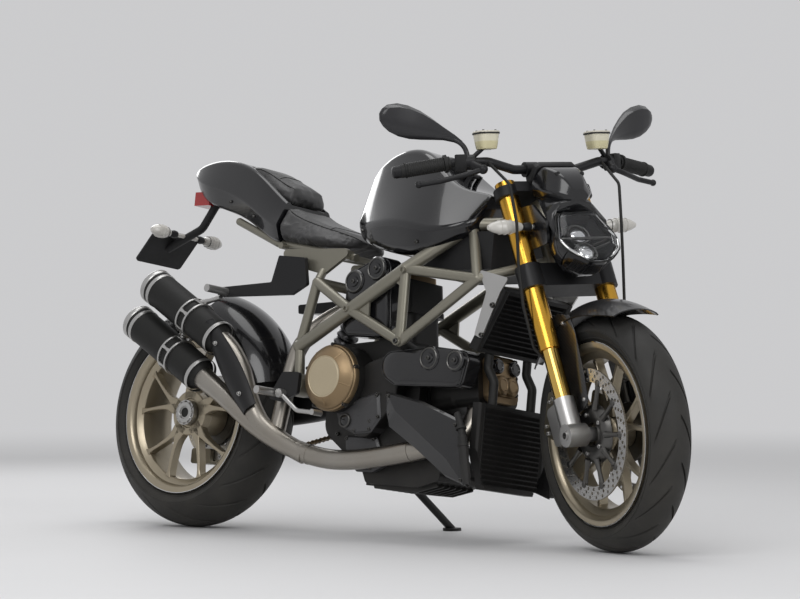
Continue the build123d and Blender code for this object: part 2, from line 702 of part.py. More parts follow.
def front_axle():
    """Hollow axle through the fork feet and the front hub, with a spacer each side of the hub."""
    end = FOOT_BOSS_OUT + 3
    foot = FORK_HALF_SPACING - FOOT_RADIUS - 0.5
    spacer = cross_bar(0, 0, FRONT_HUB_HALF + SEAT_GAP, foot, FRONT_AXLE_RADIUS + 6)
    shaft = cross_bar(0, 0, -end, end, FRONT_AXLE_RADIUS)
    return join([shaft, both_sides(spacer)]) - cross_bar(0, 0, -end - 1, end + 1, FRONT_AXLE_BORE)


def rear_axle():
    """Hollow rear axle with the wheel nut on the right, reaching through the sprocket on the left."""
    right, left = REAR_HUB_FACE - REAR_NUT_WIDTH, DRIVE_Y + 20
    shaft = cross_bar(0, 0, right, left, REAR_AXLE_RADIUS)
    nut = cross_bar(0, 0, right, REAR_HUB_FACE - SEAT_GAP, REAR_NUT_RADIUS)
    return join([shaft, nut]) - cross_bar(0, 0, right - 1, left + 1, REAR_AXLE_BORE)


def rear_disc():
    """Rear brake ring on its carrier."""
    ring = brake_ring(REAR_DISC_RADIUS, REAR_DISC_BAND, REAR_DISC_Y)
    low, high = REAR_HUB_INNER + SEAT_GAP, REAR_DISC_Y + DISC_THICK / 2
    carrier = cross_bar(0, 0, low, high, REAR_DISC_RADIUS - REAR_DISC_BAND + 4)
    return join([ring, carrier]) - cross_bar(0, 0, low - 1, high + 1, REAR_AXLE_RADIUS + SEAT_GAP)


def rear_sprocket():
    """Toothed wheel with its outline cut by a ring of rollers."""
    low, high = DRIVE_Y - SPROCKET_THICK / 2, DRIVE_Y + SPROCKET_THICK / 2
    tip = REAR_SPROCKET_RADIUS + SPROCKET_TOOTH
    gaps = []
    for k in range(REAR_SPROCKET_TEETH):
        a = radians(k * 360 / REAR_SPROCKET_TEETH)
        gaps.append(cross_bar(tip * cos(a), tip * sin(a), low - 1, high + 1, SPROCKET_TOOTH + 1.2))
    bore = cross_bar(0, 0, low - 1, high + 1, REAR_AXLE_RADIUS + SEAT_GAP)
    return cross_bar(0, 0, low, high, tip) - gaps - bore


# Front end, drawn from the front axle
def fork_part(shape):
    """A shape of the fork's own frame, with Z up the steering axis, brought to the front axle's frame."""
    return FORK_FRAME.location * shape


def fork_legs(low, high, radius):
    """Both round members of the fork between two heights along it, in the fork's own frame."""
    foot = (FORK_AHEAD, -FORK_HALF_SPACING)
    return both_sides(rod((*foot, low), (*foot, high), radius))


def fork_outer_tubes():
    bore_top = FORK_TUBE_END + STANCHION_INSERT
    bores = fork_legs(FORK_TUBE_END - 1, bore_top, STANCHION_RADIUS + SEAT_GAP)
    return fork_part(fork_legs(FORK_TUBE_END, FORK_TOP, FORK_TUBE_RADIUS) - bores)


def fork_stanchions():
    return fork_part(fork_legs(STANCHION_END, FORK_TUBE_END + STANCHION_INSERT - 1, STANCHION_RADIUS))


def fork_feet():
    """Cast feet that clamp the front axle ahead of the fork tube and carry the caliper."""
    posts = fork_legs(-FOOT_BELOW, STANCHION_END - SEAT_GAP, FOOT_RADIUS)
    boss = cross_bar(FORK_OFFSET, 0, -FOOT_BOSS_OUT, -FOOT_BOSS_IN, FOOT_BOSS_RADIUS)
    length, tall = FOOT_LUG_SIZE
    back, up = FOOT_LUG_PLACE
    lug = Pos(FORK_AHEAD + back, -FORK_HALF_SPACING, up) * Box(length, 2 * FOOT_LUG_HALF, tall)
    lug = fillet(lug.edges().filter_by(Axis.Y), FOOT_LUG_HALF)
    bore = cross_bar(FORK_OFFSET, 0, -FOOT_BOSS_OUT - 1, FOOT_BOSS_OUT + 1, FRONT_AXLE_RADIUS + SEAT_GAP)
    return fork_part(join([posts, both_sides(boss + lug)]) - bore)


def clamp_bridge(span, web):
    """Bridge between the fork tubes with a ring round each, in the fork's own frame."""
    low, high = span
    ahead, length = web
    rings = fork_legs(low, high, FORK_TUBE_RADIUS + CLAMP_WALL)
    bar = Pos(ahead, 0, (low + high) / 2) * Box(length, 2 * FORK_HALF_SPACING, high - low)
    return join([rings, bar]) - fork_legs(low - 1, high + 1, FORK_TUBE_RADIUS + SEAT_GAP)


def triple_clamps():
    """Lower and upper fork bridges on one steering stem."""
    stem = rod((0, 0, LOWER_CLAMP[0]), (0, 0, UPPER_CLAMP[1]), STEM_RADIUS)
    return fork_part(join([clamp_bridge(LOWER_CLAMP, LOWER_WEB), clamp_bridge(UPPER_CLAMP, UPPER_WEB), stem]))


def front_calipers():
    """Block calipers on the lugs of the fork feet, each straddling its brake ring."""
    outer = FORK_HALF_SPACING - FOOT_LUG_HALF - SEAT_GAP
    middle = outer - CALIPER_WIDTH / 2
    block = Box(CALIPER_DEPTH, CALIPER_WIDTH, CALIPER_LENGTH)
    block = Pos(FRONT_DISC_RADIUS - CALIPER_INSET, -middle, 0) * block
    block = fillet(block.edges().filter_by(Axis.Y), CALIPER_WIDTH / 4)
    half = DISC_THICK / 2 + CALIPER_GAP
    slot = cross_bar(0, 0, -FRONT_DISC_Y - half, -FRONT_DISC_Y + half, FRONT_DISC_RADIUS + 2 * CALIPER_GAP)
    return both_sides(Rot(Y=-CALIPER_TURN) * block - slot)


def fork_shield():
    """Right-hand half-pipe guard ahead of the fork leg, held on the foot, in the fork's own frame."""
    tall = GUARD_HIGH - GUARD_LOW
    shell = Cylinder(GUARD_RADIUS + GUARD_WALL, tall, align=BASE) - Cylinder(GUARD_RADIUS, tall, align=BASE)
    shell -= Pos(-GUARD_RADIUS - 8, 0, tall / 2) * Box(2 * GUARD_RADIUS + 16, 4 * GUARD_RADIUS, tall + 2)
    pad = Pos((FOOT_RADIUS + GUARD_RADIUS) / 2 + 1, 0, 32) * Box(GUARD_RADIUS - FOOT_RADIUS + 6, 22, 30)
    pad -= Cylinder(FOOT_RADIUS + SEAT_GAP, tall)
    return Pos(FORK_AHEAD, -FORK_HALF_SPACING, GUARD_LOW) * (shell + pad)


def front_fender():
    """Front mudguard arch joined to a guard on each fork leg."""
    arch = arch_shell(FENDER_RADIUS, FENDER_HALF, FENDER_DROP, FENDER_WALL, FENDER_FROM, FENDER_TO)
    tab = Pos(FORK_AHEAD + 6, -FENDER_HALF + 3, GUARD_HIGH + 14) * Box(64, 10, 44)
    guards = fork_part(both_sides(fork_shield() + tab))
    return arch + guards - fork_part(fork_legs(0, FORK_TOP, FORK_TUBE_RADIUS + SEAT_GAP))


def bar_run(side, first):
    """Start, end and direction of one straight run of the handlebar."""
    start, end = (Vector(*p) for p in sided(BAR_LINE, side)[first:first + 2])
    return start, end, (end - start).normalized()


@lru_cache
def bar_tube(extra):
    """The bent bar on both sides, thicker by extra when used as a cutter."""
    return join([bent_tube(sided(BAR_LINE, side), BAR_RADIUS + extra, BAR_BEND) for side in (-1, 1)])


def handlebar():
    """Bent bar with end weights and two risers on the upper fork bridge."""
    weights = []
    for side in (-1, 1):
        _, end, run = bar_run(side, 3)
        weights.append(rod(end - run * 2, end + run * 14, GRIP_RADIUS - 1))
    top = FORK_FRAME.to_local_coords(Vector(*BAR_LINE[0]))
    foot = UPPER_CLAMP[1] + SEAT_GAP
    post = rod((top.X - 10, RISER_Y, foot - 20), (top.X, RISER_Y, top.Z), RISER_RADIUS)
    post -= Pos(0, 0, foot - 50) * Box(400, 400, 100)
    cap = rod((top.X, RISER_Y - 18, top.Z), (top.X, RISER_Y + 18, top.Z), BAR_RADIUS + 8)
    return join([bar_tube(0.0), *weights, fork_part(both_sides(post + cap))])


def grips():
    """Rubber sleeves with a flange over the bar ends."""
    sleeves = []
    for side in (-1, 1):
        inner, end, run = bar_run(side, 3)
        start = inner + run * 12
        sleeve = rod(start, end - run * (2 + SEAT_GAP), GRIP_RADIUS)
        sleeves.append(sleeve + rod(start, start + run * 8, GRIP_RADIUS + 6))
    return join(sleeves) - bar_tube(SEAT_GAP)


def perches(extra):
    """Clamps on the bar that carry the levers, longer and thicker by extra when used as a cutter."""
    clamps = []
    for side in (-1, 1):
        start, _, run = bar_run(side, 2)
        low, high = PERCH_SPAN[0] - extra, PERCH_SPAN[1] + extra
        clamps.append(rod(start + run * low, start + run * high, PERCH_RADIUS + extra))
    return join(clamps)


def hand_levers():
    """Perches clamped on the bar, each with its lever ahead of the grip and a post for the fluid cup."""
    parts = [perches(0.0)]
    for side in (-1, 1):
        start, _, run = bar_run(side, 2)
        middle = start + run * (sum(PERCH_SPAN) / 2)
        line = sided(LEVER_LINE, side)
        cup = Vector(*sided([CUP_PLACE], side)[0])
        parts += [rod(middle, line[0], 12), ball(line[0], 13), bent_tube(line, LEVER_RADIUS, 40)]
        parts += [ball(line[-1], LEVER_RADIUS + 2), rod(middle, cup + Vector(0, 0, 12), 6)]
    x, y, z = CUP_PLACE
    cup_room = Pos(x, y, z + 2 * CUP_HEIGHT - SEAT_GAP) * Box(3 * CUP_RADIUS, 3 * CUP_RADIUS, 4 * CUP_HEIGHT)
    return join(parts) - bar_tube(SEAT_GAP) - both_sides(cup_room)


def fluid_reservoirs():
    """Fluid cups for the front brake and the clutch: tapered cup and wider lid."""
    cup = Cone(CUP_RADIUS - 4, CUP_RADIUS, CUP_HEIGHT, align=BASE)
    lid = Cylinder(CUP_RADIUS + 4, 16, align=BASE)
    lid = fillet(lid.edges().group_by(Axis.Z)[-1], 4)
    return both_sides(Pos(*CUP_PLACE) * (cup + Pos(0, 0, CUP_HEIGHT - 12) * lid))


def mirrors():
    """Leaf-shaped mirrors on short stalks from the perches."""
    faces = []
    for y, x, z, thick, tall, corner in MIRROR_SECTIONS:
        plane = Plane(origin=(x, y, z), x_dir=(1, 0, 0), z_dir=(0, 1, 0))
        faces.append(plane * RectangleRounded(thick, tall, corner))
    stalk = bent_tube(MIRROR_STALK, MIRROR_STALK_RADIUS, 18)
    return both_sides(stalk + loft(faces)) - bar_tube(SEAT_GAP) - perches(SEAT_GAP)


def lamp_face(behind, scale):
    """Outline of the headlight, parallel to its lens."""
    points = [(0.5 * width, up) for width, up in LAMP_OUTLINE]
    points += [(-y, up) for y, up in reversed(points)]
    face = fillet(make_face(Polyline(*points, close=True)).vertices(), LAMP_CORNER).scale(scale)
    plane = Plane(origin=LAMP_CENTRE, x_dir=(0, 1, 0), z_dir=LAMP_NORMAL)
    return plane.offset(-behind) * face


def headlight_shell():
    """Open headlight bowl with a bracket to each fork tube."""
    bowl = loft([lamp_face(behind, scale) for behind, scale in LAMP_SECTIONS])
    hollow = loft([lamp_face(behind - 12, scale - LAMP_WALL_SHARE) for behind, scale in LAMP_SECTIONS])
    low, high = LAMP_BRACKET_Y
    brackets = both_sides(plate_xz(LAMP_BRACKET, -high, -low, 8))
    x, z = LAMP_BRIDGE
    bridges = both_sides(Pos(x, -low + 17, z) * Box(34, 46, 44))
    legs = fork_part(fork_legs(0, FORK_TOP, FORK_TUBE_RADIUS + SEAT_GAP))
    return join([bowl, brackets, bridges]) - hollow - legs


def headlight_lens():
    """Clear front cover, hollow behind."""
    outer = loft([lamp_face(behind, scale) for behind, scale in LENS_SECTIONS], ruled=True)
    thin = LAMP_WALL_SHARE / 2
    inner = loft([lamp_face(behind + 4, scale - thin) for behind, scale in LENS_SECTIONS], ruled=True)
    return outer - inner


def nose_cowl():
    """Small visor over the instruments, on two stays to the upper fork bridge."""
    x, half, z_low = NOSE_SECTIONS[0][:3]
    stays = both_sides(rod((x + 24, -half + 20, z_low + 8), (x - 50, -half + 20, z_low + 16), 7))
    ahead, length = UPPER_WEB
    tall = UPPER_CLAMP[1] - UPPER_CLAMP[0]
    web = Box(length + 2 * SEAT_GAP, 2 * FORK_HALF_SPACING, tall + 2 * SEAT_GAP)
    return body_of_sections(NOSE_SECTIONS) + (stays - fork_part(Pos(ahead, 0, sum(UPPER_CLAMP) / 2) * web))


def brake_hoses():
    """Hoses from the lever perches down beside the fork to the upper ends of both calipers."""
    line = list(BRAKE_HOSE_LINE)
    for rise in (BRAKE_HOSE_RISE, SEAT_GAP):
        place = Pos(FRONT_DISC_RADIUS - CALIPER_INSET, BRAKE_HOSE_IN, -CALIPER_LENGTH / 2 - rise)
        line.append(tuple((Rot(Y=-CALIPER_TURN) * place).position))
    hose = bent_tube(line, BRAKE_HOSE_RADIUS, BRAKE_HOSE_BEND)
    return both_sides(hose) - perches(SEAT_GAP) - bar_tube(SEAT_GAP)


# Trellis frame and rear subframe
def frame_node(name, side):
    """Place of a frame node on the right (-1) or the left (1)."""
    heads = {"head_top": HEAD_TOP_AT, "head_low": HEAD_LOW_AT}
    if name in heads:
        return tuple(FRONT_AXLE + FORK_FRAME.from_local_coords(Vector(0, 8 * side, heads[name])))
    x, right, left, z = FRAME_NODES[name]
    return (x, left if side > 0 else -right, z)


@lru_cache
def frame_tubes(extra=0.0):
    """All frame tubes, thicker by extra when used as a cutter."""
    rounds = []
    for start, end, radius in FRAME_TUBES:
        for side in (-1, 1):
            a, b = frame_node(start, side), frame_node(end, side)
            bead = radius + WELD_BEAD + extra
            rounds += [rod(a, b, radius + extra), ball(a, bead), ball(b, bead)]
    cross_half = FRAME_NODES["rear_top"][1]
    rounds.append(cross_bar(*SHOCK_TOP, -cross_half, cross_half, BRACE_TUBE_RADIUS + extra))
    rounds.append(cross_bar(*PIVOT, -BOSS_IN_RIGHT + extra, -BOSS_OUT - extra, BOSS_RADIUS + extra))
    rounds.append(cross_bar(*PIVOT, BOSS_IN_LEFT - extra, BOSS_OUT + extra, BOSS_RADIUS + extra))
    return join(rounds)


@lru_cache
def frame_gussets(extra=0.0):
    """Flat webs in the corners of the side trellis, thicker by extra when used as a cutter."""
    webs = []
    for corner, first, second, reach in FRAME_GUSSETS:
        a, b, c = (Vector(*frame_node(name, -1)) for name in (corner, first, second))
        points = [a, a + (b - a).normalized() * reach, a + (c - a).normalized() * reach]
        half = GUSSET_HALF + extra
        webs.append(both_sides(plate_xz([(p.X, p.Z) for p in points], a.Y - half, a.Y + half)))
    return join(webs)


def frame():
    """Welded tube trellis with corner webs, the head tube and the swingarm pivot shaft."""
    shaft = cross_bar(*PIVOT, -BOSS_IN_RIGHT, BOSS_IN_LEFT, PIVOT_RADIUS)
    head = rod((0, 0, LOWER_CLAMP[1] + MOVE_GAP), (0, 0, UPPER_CLAMP[0] - MOVE_GAP), HEAD_TUBE_RADIUS)
    bore = rod((0, 0, LOWER_CLAMP[0]), (0, 0, UPPER_CLAMP[1]), STEM_RADIUS + RUN_GAP)
    at_head = Pos(*FRONT_AXLE)
    tubes = join([frame_tubes(), frame_gussets(), shaft])
    return tubes + at_head * fork_part(head) - at_head * fork_part(bore)


@lru_cache
def seat_rails(extra):
    """Two rails under the seat and the tail, thicker by extra when used as a cutter."""
    rails = []
    for a, b in zip(RAIL_LINE, RAIL_LINE[1:]):
        rails += [rod(a, b, RAIL_RADIUS + extra), ball(b, RAIL_RADIUS + extra)]
    return both_sides(join(rails))


def subframe():
    """Rear side plates with two rails that carry the seat and the tail."""
    plates = both_sides(plate_xz(SUBFRAME_PLATE, -SUBFRAME_OUT, -SUBFRAME_IN, 12))
    webs = both_sides(Pos(*SUBFRAME_WEB_PLACE) * Box(*SUBFRAME_WEB_SIZE))
    half = RAIL_LINE[0][1]
    cross = [cross_bar(x, z, -half, half, RAIL_RADIUS - 2) for x, z in SUBFRAME_CROSS]
    x, z = SUBFRAME_LUG
    lugs = both_sides(rod((x, -SUBFRAME_IN - 6, z), frame_node("rear_top", -1), RAIL_RADIUS + 1))
    return join([plates, seat_rails(0.0), webs, lugs, *cross]) - frame_tubes(SEAT_GAP)


# Engine
@lru_cache
def crankcase():
    """Cases with ribbed sump, side covers, drive sprocket, stand bracket and lugs to the frame."""
    case = round_hull(CASE_CIRCLES, -CASE_HALF, CASE_HALF)
    timing = round_hull(TIMING_CIRCLES, -TIMING_Y, -CASE_HALF + 10, 8)
    generator = round_hull(GENERATOR_CIRCLES, CASE_HALF - 10, GENERATOR_Y, 10)
    sump = plate_xz(SUMP_OUTLINE, -SUMP_HALF, SUMP_HALF, 16)
    ribs = []
    for k in range(SUMP_RIBS):
        y = (k - (SUMP_RIBS - 1) / 2) * SUMP_RIB_PITCH
        ribs.append(plate_xz(SUMP_RIB_OUTLINE, y - 2.5, y + 2.5, 4))
    clutch = cross_bar(*CLUTCH_CENTRE, -CLUTCH_CASE_Y, 0, CLUTCH_RADIUS)
    drive = cross_bar(*FRONT_SPROCKET, 0, DRIVE_Y + 10, FRONT_SPROCKET_RADIUS)
    lugs = both_sides(rod(ENGINE_LUG, frame_node("mount", -1), ENGINE_LUG_RADIUS))
    pivot = Vector(*STAND_PIVOT)
    bracket = Pos(*STAND_BRACKET_PLACE) * Box(*STAND_BRACKET_SIZE)
    stud = rod(pivot - STAND_AXIS * 52, pivot + STAND_AXIS * 16, STAND_STUD_RADIUS)
    head = rod(pivot + STAND_AXIS * 13, pivot + STAND_AXIS * 18, STAND_STUD_RADIUS + 5)
    whole = join([case, timing, generator, sump, *ribs, clutch, drive, lugs, bracket, stud, head])
    return whole - frame_tubes(SEAT_GAP) - frame_gussets(SEAT_GAP)


def along_cylinder(tilt, start, end, width, tall, corner):
    """Block along a cylinder's axis from the crankshaft outwards, with rounded edges along it."""
    plane = Plane(origin=(start, 0, 0), x_dir=(0, 1, 0), z_dir=(1, 0, 0))
    return Pos(*CRANK) * Rot(Y=-tilt) * extrude(plane * RectangleRounded(width, tall, corner), end - start)


@lru_cache
def cylinder_blocks(extra):
    """Both cylinders with base flange, barrel, joint and head, grown by extra when used as a cutter."""
    blocks = []
    for tilt in CYLINDER_TILTS:
        for start, end, width, tall, corner in CYLINDER_STEPS:
            blocks.append(along_cylinder(tilt, start, end, width + 2 * extra, tall + 2 * extra, corner))
    return join(blocks)


def cylinders():
    return cylinder_blocks(0.0) - crankcase()


def head_covers():
    """Bronze covers on the ends of both heads, with a raised middle."""
    covers = []
    for tilt in CYLINDER_TILTS:
        low, high = HEAD_END + SEAT_GAP, HEAD_END + COVER_LENGTH
        plate = along_cylinder(tilt, low, high - 8, COVER_WIDTH, COVER_TALL, 20)
        covers.append(plate + along_cylinder(tilt, low, high, COVER_WIDTH - 34, COVER_TALL - 34, 16))
    return join(covers)


def belt_covers():
    """Covers over the cam belts on the right of both cylinders, on posts from the heads."""
    tables = (FRONT_BELT_CIRCLES, REAR_BELT_CIRCLES)
    covers = [round_hull(circles, -BELT_OUT, -BELT_IN, 9) for circles in tables]
    posts = [cross_bar(x, z, -BELT_IN - 6, -HEAD_WIDTH / 2 - SEAT_GAP, 9) for x, z in BELT_POSTS]
    return join([*covers, *posts]) - crankcase()


def clutch_cover():
    """Round clutch cover: lobed flange, stepped dome and a flat centre disc."""
    rows = [(-out, radius) for out, radius in CLUTCH_PROFILE]
    profile = make_face(Polyline((0, 0), *rows, (rows[-1][0], 0), close=True))
    lobes = []
    for k in range(CLUTCH_LOBES):
        a = radians(k * 360 / CLUTCH_LOBES)
        reach = CLUTCH_RADIUS - 6
        lobes.append(cross_bar(reach * cos(a), reach * sin(a), -CLUTCH_PROFILE[1][0], 0, 10))
    x, z = CLUTCH_CENTRE
    return Pos(x, -CLUTCH_CASE_Y - SEAT_GAP, z) * join([revolve(Plane.YZ * profile, Axis.Y), *lobes])


# Bodywork
def airbox_room(extra):
    """Box between the frame tubes that holds the airbox."""
    low, high = AIRBOX_SPAN
    middle = Pos((low + high) / 2, 0, (AIRBOX_LOW + AIRBOX_HIGH) / 2)
    sizes = (high - low, 2 * AIRBOX_HALF, AIRBOX_HIGH - AIRBOX_LOW)
    return middle * Box(*(size + 2 * extra for size in sizes))


def fuel_tank():
    """Tank with a seat for the filler lid and two ears with the lid's hinge pin."""
    seat = Cylinder(CAP_RADIUS + MOVE_GAP, 80, align=BASE)
    filler = Cylinder(CAP_RADIUS - 14, 50, align=(Align.CENTER, Align.CENTER, Align.MAX))
    room = airbox_room(SEAT_GAP) + Pos(0, 0, -SEAT_GAP) * airbox_room(SEAT_GAP)
    cap_room = CAP_FRAME.location * (seat + filler)
    tank = body_of_sections(TANK_SECTIONS) - frame_tubes(SEAT_GAP) - room - cap_room
    reach = CAP_BARREL_HALF + 1 + CAP_EAR_THICK
    pin = rod((CAP_HINGE_OUT, -reach, CAP_THICK), (CAP_HINGE_OUT, reach, CAP_THICK), CAP_PIN_RADIUS)
    ear = Pos(CAP_HINGE_OUT + 2, reach - CAP_EAR_THICK / 2, CAP_THICK - 14) * Box(12, CAP_EAR_THICK, 40)
    return tank + CAP_FRAME.location * join([pin, both_sides(ear)])


def fuel_cap():
    """Round filler lid with a hinge barrel at its front."""
    lid = Cylinder(CAP_RADIUS, CAP_THICK, align=BASE)
    lid = chamfer(lid.faces().sort_by(Axis.Z)[-1].edges(), 3)
    tongue = Pos(CAP_HINGE_OUT - 10, 0, CAP_THICK - 3) * Box(20, 2 * CAP_BARREL_HALF, 6)
    ends = (CAP_HINGE_OUT, -CAP_BARREL_HALF, CAP_THICK), (CAP_HINGE_OUT, CAP_BARREL_HALF, CAP_THICK)
    whole = join([Pos(0, 0, SEAT_GAP) * lid, tongue, rod(*ends, CAP_BARREL_RADIUS)])
    return CAP_FRAME.location * (whole - rod(*ends, CAP_PIN_RADIUS + RUN_GAP))


def airbox():
    """Airbox between the frame tubes with its side panels."""
    return airbox_room(0.0) - frame_tubes(SEAT_GAP) - frame_gussets(SEAT_GAP)


def rider_seat():
    return body_of_sections(SEAT_SECTIONS) - seat_rails(SEAT_GAP)


def pillion_pad():
    return body_of_sections(PILLION_SECTIONS)


def tail_fairing():
    return body_of_sections(TAIL_SECTIONS) - body_of_sections(grown(PILLION_SECTIONS)) - seat_rails(SEAT_GAP)


def tail_light():
    return Pos(*LIGHT_PLACE) * Box(*LIGHT_SIZE) - body_of_sections(grown(TAIL_SECTIONS))


def plate_hanger():
    """Arm under the tail with a blank plate."""
    arm = bent_tube(HANGER_LINE, HANGER_RADIUS, 40)
    plate = Box(*PLATE_SIZE)
    plate = Pos(*HANGER_LINE[-1]) * Rot(Y=PLATE_TILT) * fillet(plate.edges().filter_by(Axis.X), 10)
    light = Pos(*LIGHT_PLACE) * Box(*(size + 2 * SEAT_GAP for size in LIGHT_SIZE))
    return arm + plate - body_of_sections(grown(TAIL_SECTIONS)) - light


# Rear suspension, drive and brake
def arm_point(share):
    """Point on the line from the pivot to the rear axle."""
    return PIVOT[0] + share * (REAR_AXLE.X - PIVOT[0]), PIVOT[1] + share * (REAR_AXLE.Z - PIVOT[1])


def swingarm():
    """Single-sided arm on the left: pivot barrel, curved beam, axle hub and caliper lug."""
    barrel = cross_bar(*PIVOT, -BOSS_IN_RIGHT + 0.5, BOSS_IN_LEFT - 0.5, ARM_BARREL_RADIUS)
    faces = []
    for share, y_in, y_out, below, above in ARM_SECTIONS:
        x, z = arm_point(share)
        middle = (x, (y_in + y_out) / 2, z + (above - below) / 2)
        plane = Plane(origin=middle, x_dir=(0, 1, 0), z_dir=(-1, 0, 0))
        faces.append(plane * RectangleRounded(y_out - y_in, above + below, ARM_CORNER))
    axle = (REAR_AXLE.X, REAR_AXLE.Z)
    hub = cross_bar(*axle, SWINGARM_HUB_IN, SWINGARM_HUB_OUT, SWINGARM_HUB_RADIUS)
    back, down = REAR_CALIPER_PLACE
    wide = SWINGARM_HUB_OUT - SWINGARM_HUB_IN
    lug = Pos(axle[0] + back, SWINGARM_HUB_IN + wide / 2, axle[1] + down + 30) * Box(76, wide, 60)
    lug = fillet(lug.edges().filter_by(Axis.Y), 12)
    foot = Pos(SHOCK_FOOT[0], SHOCK_Y + 20, SHOCK_FOOT[1] - 22) * Box(60, 100, 44)
    shaft = cross_bar(*PIVOT, -BOSS_OUT, BOSS_OUT, PIVOT_RADIUS + SEAT_GAP)
    bore = cross_bar(*axle, 0, BOSS_OUT, REAR_AXLE_RADIUS + RUN_GAP)
    boss = cross_bar(*PIVOT, BOSS_IN_LEFT - SEAT_GAP, BOSS_OUT, BOSS_RADIUS + 4)
    return join([barrel, loft(faces), hub, lug, foot]) - shaft - bore - boss


def rear_caliper():
    """Small caliper on the swingarm hub, straddling the rear brake ring."""
    length, tall = REAR_CALIPER_SIZE
    back, down = REAR_CALIPER_PLACE
    outer = SWINGARM_HUB_IN - SEAT_GAP
    block = Pos(back, (REAR_CALIPER_IN + outer) / 2, down) * Box(length, outer - REAR_CALIPER_IN, tall)
    block = fillet(block.edges().filter_by(Axis.Y), 8)
    half = DISC_THICK / 2 + CALIPER_GAP
    slot = cross_bar(0, 0, REAR_DISC_Y - half, REAR_DISC_Y + half, REAR_DISC_RADIUS + 2 * CALIPER_GAP)
    hub = cross_bar(0, 0, 0, REAR_HUB_INNER + MOVE_GAP, REAR_HUB_RADIUS + MOVE_GAP)
    return Pos(*REAR_AXLE) * (block - slot - hub)


def chain_loop(grow):
    """Outline round both sprockets, grown outwards."""
    front = Pos(*FRONT_SPROCKET) * Circle(FRONT_SPROCKET_RADIUS + grow)
    rear = Pos(REAR_AXLE.X, REAR_AXLE.Z) * Circle(REAR_SPROCKET_RADIUS + SPROCKET_TOOTH + grow)
    return make_hull([*front.edges(), *rear.edges()])


def chain():
    """Drive chain loop round both sprockets."""
    ring = chain_loop(CHAIN_HEIGHT) - chain_loop(CHAIN_RUN_GAP)
    return Pos(0, DRIVE_Y + CHAIN_WIDTH / 2, 0) * extrude(Plane.XZ * ring, CHAIN_WIDTH)


def rear_hugger():
    """Mudguard over the front of the rear tyre, held by a tab on the swingarm."""
    shell = arch_shell(HUGGER_RADIUS, HUGGER_HALF, HUGGER_DROP, FENDER_WALL, HUGGER_FROM, HUGGER_TO)
    side = ARM_SECTIONS[-1][1] - SEAT_GAP
    tab = Pos(0.65 * HUGGER_RADIUS, side - 3, 0.33 * HUGGER_RADIUS) * Box(44, 6, 130)
    return Pos(*REAR_AXLE) * (shell + tab)


def rear_shock():
    """Coil-over damper from the frame's cross tube to the swingarm."""
    top = Vector(SHOCK_TOP[0], SHOCK_Y, SHOCK_TOP[1])
    foot = Vector(SHOCK_FOOT[0], SHOCK_Y, SHOCK_FOOT[1] + SEAT_GAP)
    run = (foot - top).normalized()
    length = (foot - top).length
    eye = cross_bar(top.X, top.Z, SHOCK_Y - 16, SHOCK_Y + 16, 24)
    body = rod(top + run * 20, top + run * (length - 40), 22)
    post = rod(top, foot + run * 20, 10)
    collars = [rod(top + run * at, top + run * (at + 12), 33) for at in (44, length - 56)]
    low, high = 56, length - 56
    pitch = (high - low) / SHOCK_COILS
    core, bulge = SHOCK_CORE, SHOCK_CORE + SHOCK_WIRE
    lines = [Line((0, low), (core, low)), Line((core, high), (0, high)), Line((0, high), (0, low))]
    for k in range(SHOCK_COILS):
        at = low + k * pitch
        lines.append(ThreePointArc((core, at), (bulge, at + pitch / 2), (core, at + pitch)))
    spring = Plane(top, z_dir=run).location * revolve(Plane.XZ * make_face(lines), Axis.Z)
    below = Pos(foot.X, SHOCK_Y, foot.Z - 50) * Box(300, 300, 100)
    return join([eye, body, post, *collars, spring]) - below - frame_tubes(SEAT_GAP)


# Exhaust and cooling
def muffler_run():
    """Unit vector from a muffler's front to its tail."""
    return Vector(-cos(radians(MUFFLER_TILT)), 0, sin(radians(MUFFLER_TILT)))


def muffler_fronts():
    """Front centres of the upper and the lower muffler."""
    across = Vector(-sin(radians(MUFFLER_TILT)), 0, -cos(radians(MUFFLER_TILT)))
    upper = Vector(UPPER_MUFFLER_FRONT[0], MUFFLER_Y, UPPER_MUFFLER_FRONT[1])
    return [upper, upper + across * MUFFLER_SPACING]


def mufflers():
    """Two stacked silencers: coned front, straight can and a turned-in tail rim."""
    rows = [(share * MUFFLER_RADIUS, at * MUFFLER_LENGTH) for at, share in MUFFLER_PROFILE]
    can = revolve(Plane.XZ * make_face(Polyline((0, 0), *rows, close=True)), Axis.Z)
    run = muffler_run()
    return join([Plane(front, x_dir=(0, 1, 0), z_dir=run).location * can for front in muffler_fronts()])


def exhaust_pipes():
    """Header pipes of both cylinders, their collector and the pipes to the mufflers."""
    run = muffler_run()
    upper, lower = [front - run * SEAT_GAP for front in muffler_fronts()]
    front_pipe = bent_tube([*FRONT_HEADER, lower - run * 90, lower], PIPE_RADIUS, HEADER_BEND)
    upper_line = [FRONT_HEADER[-1], UPPER_PIPE_VIA, upper - run * 80, upper]
    upper_pipe = bent_tube(upper_line, PIPE_RADIUS, UPPER_PIPE_BEND)
    rear_pipe = bent_tube(REAR_HEADER, PIPE_RADIUS - 3, REAR_HEADER_BEND)
    return join([front_pipe, upper_pipe, rear_pipe]) - cylinder_blocks(SEAT_GAP)


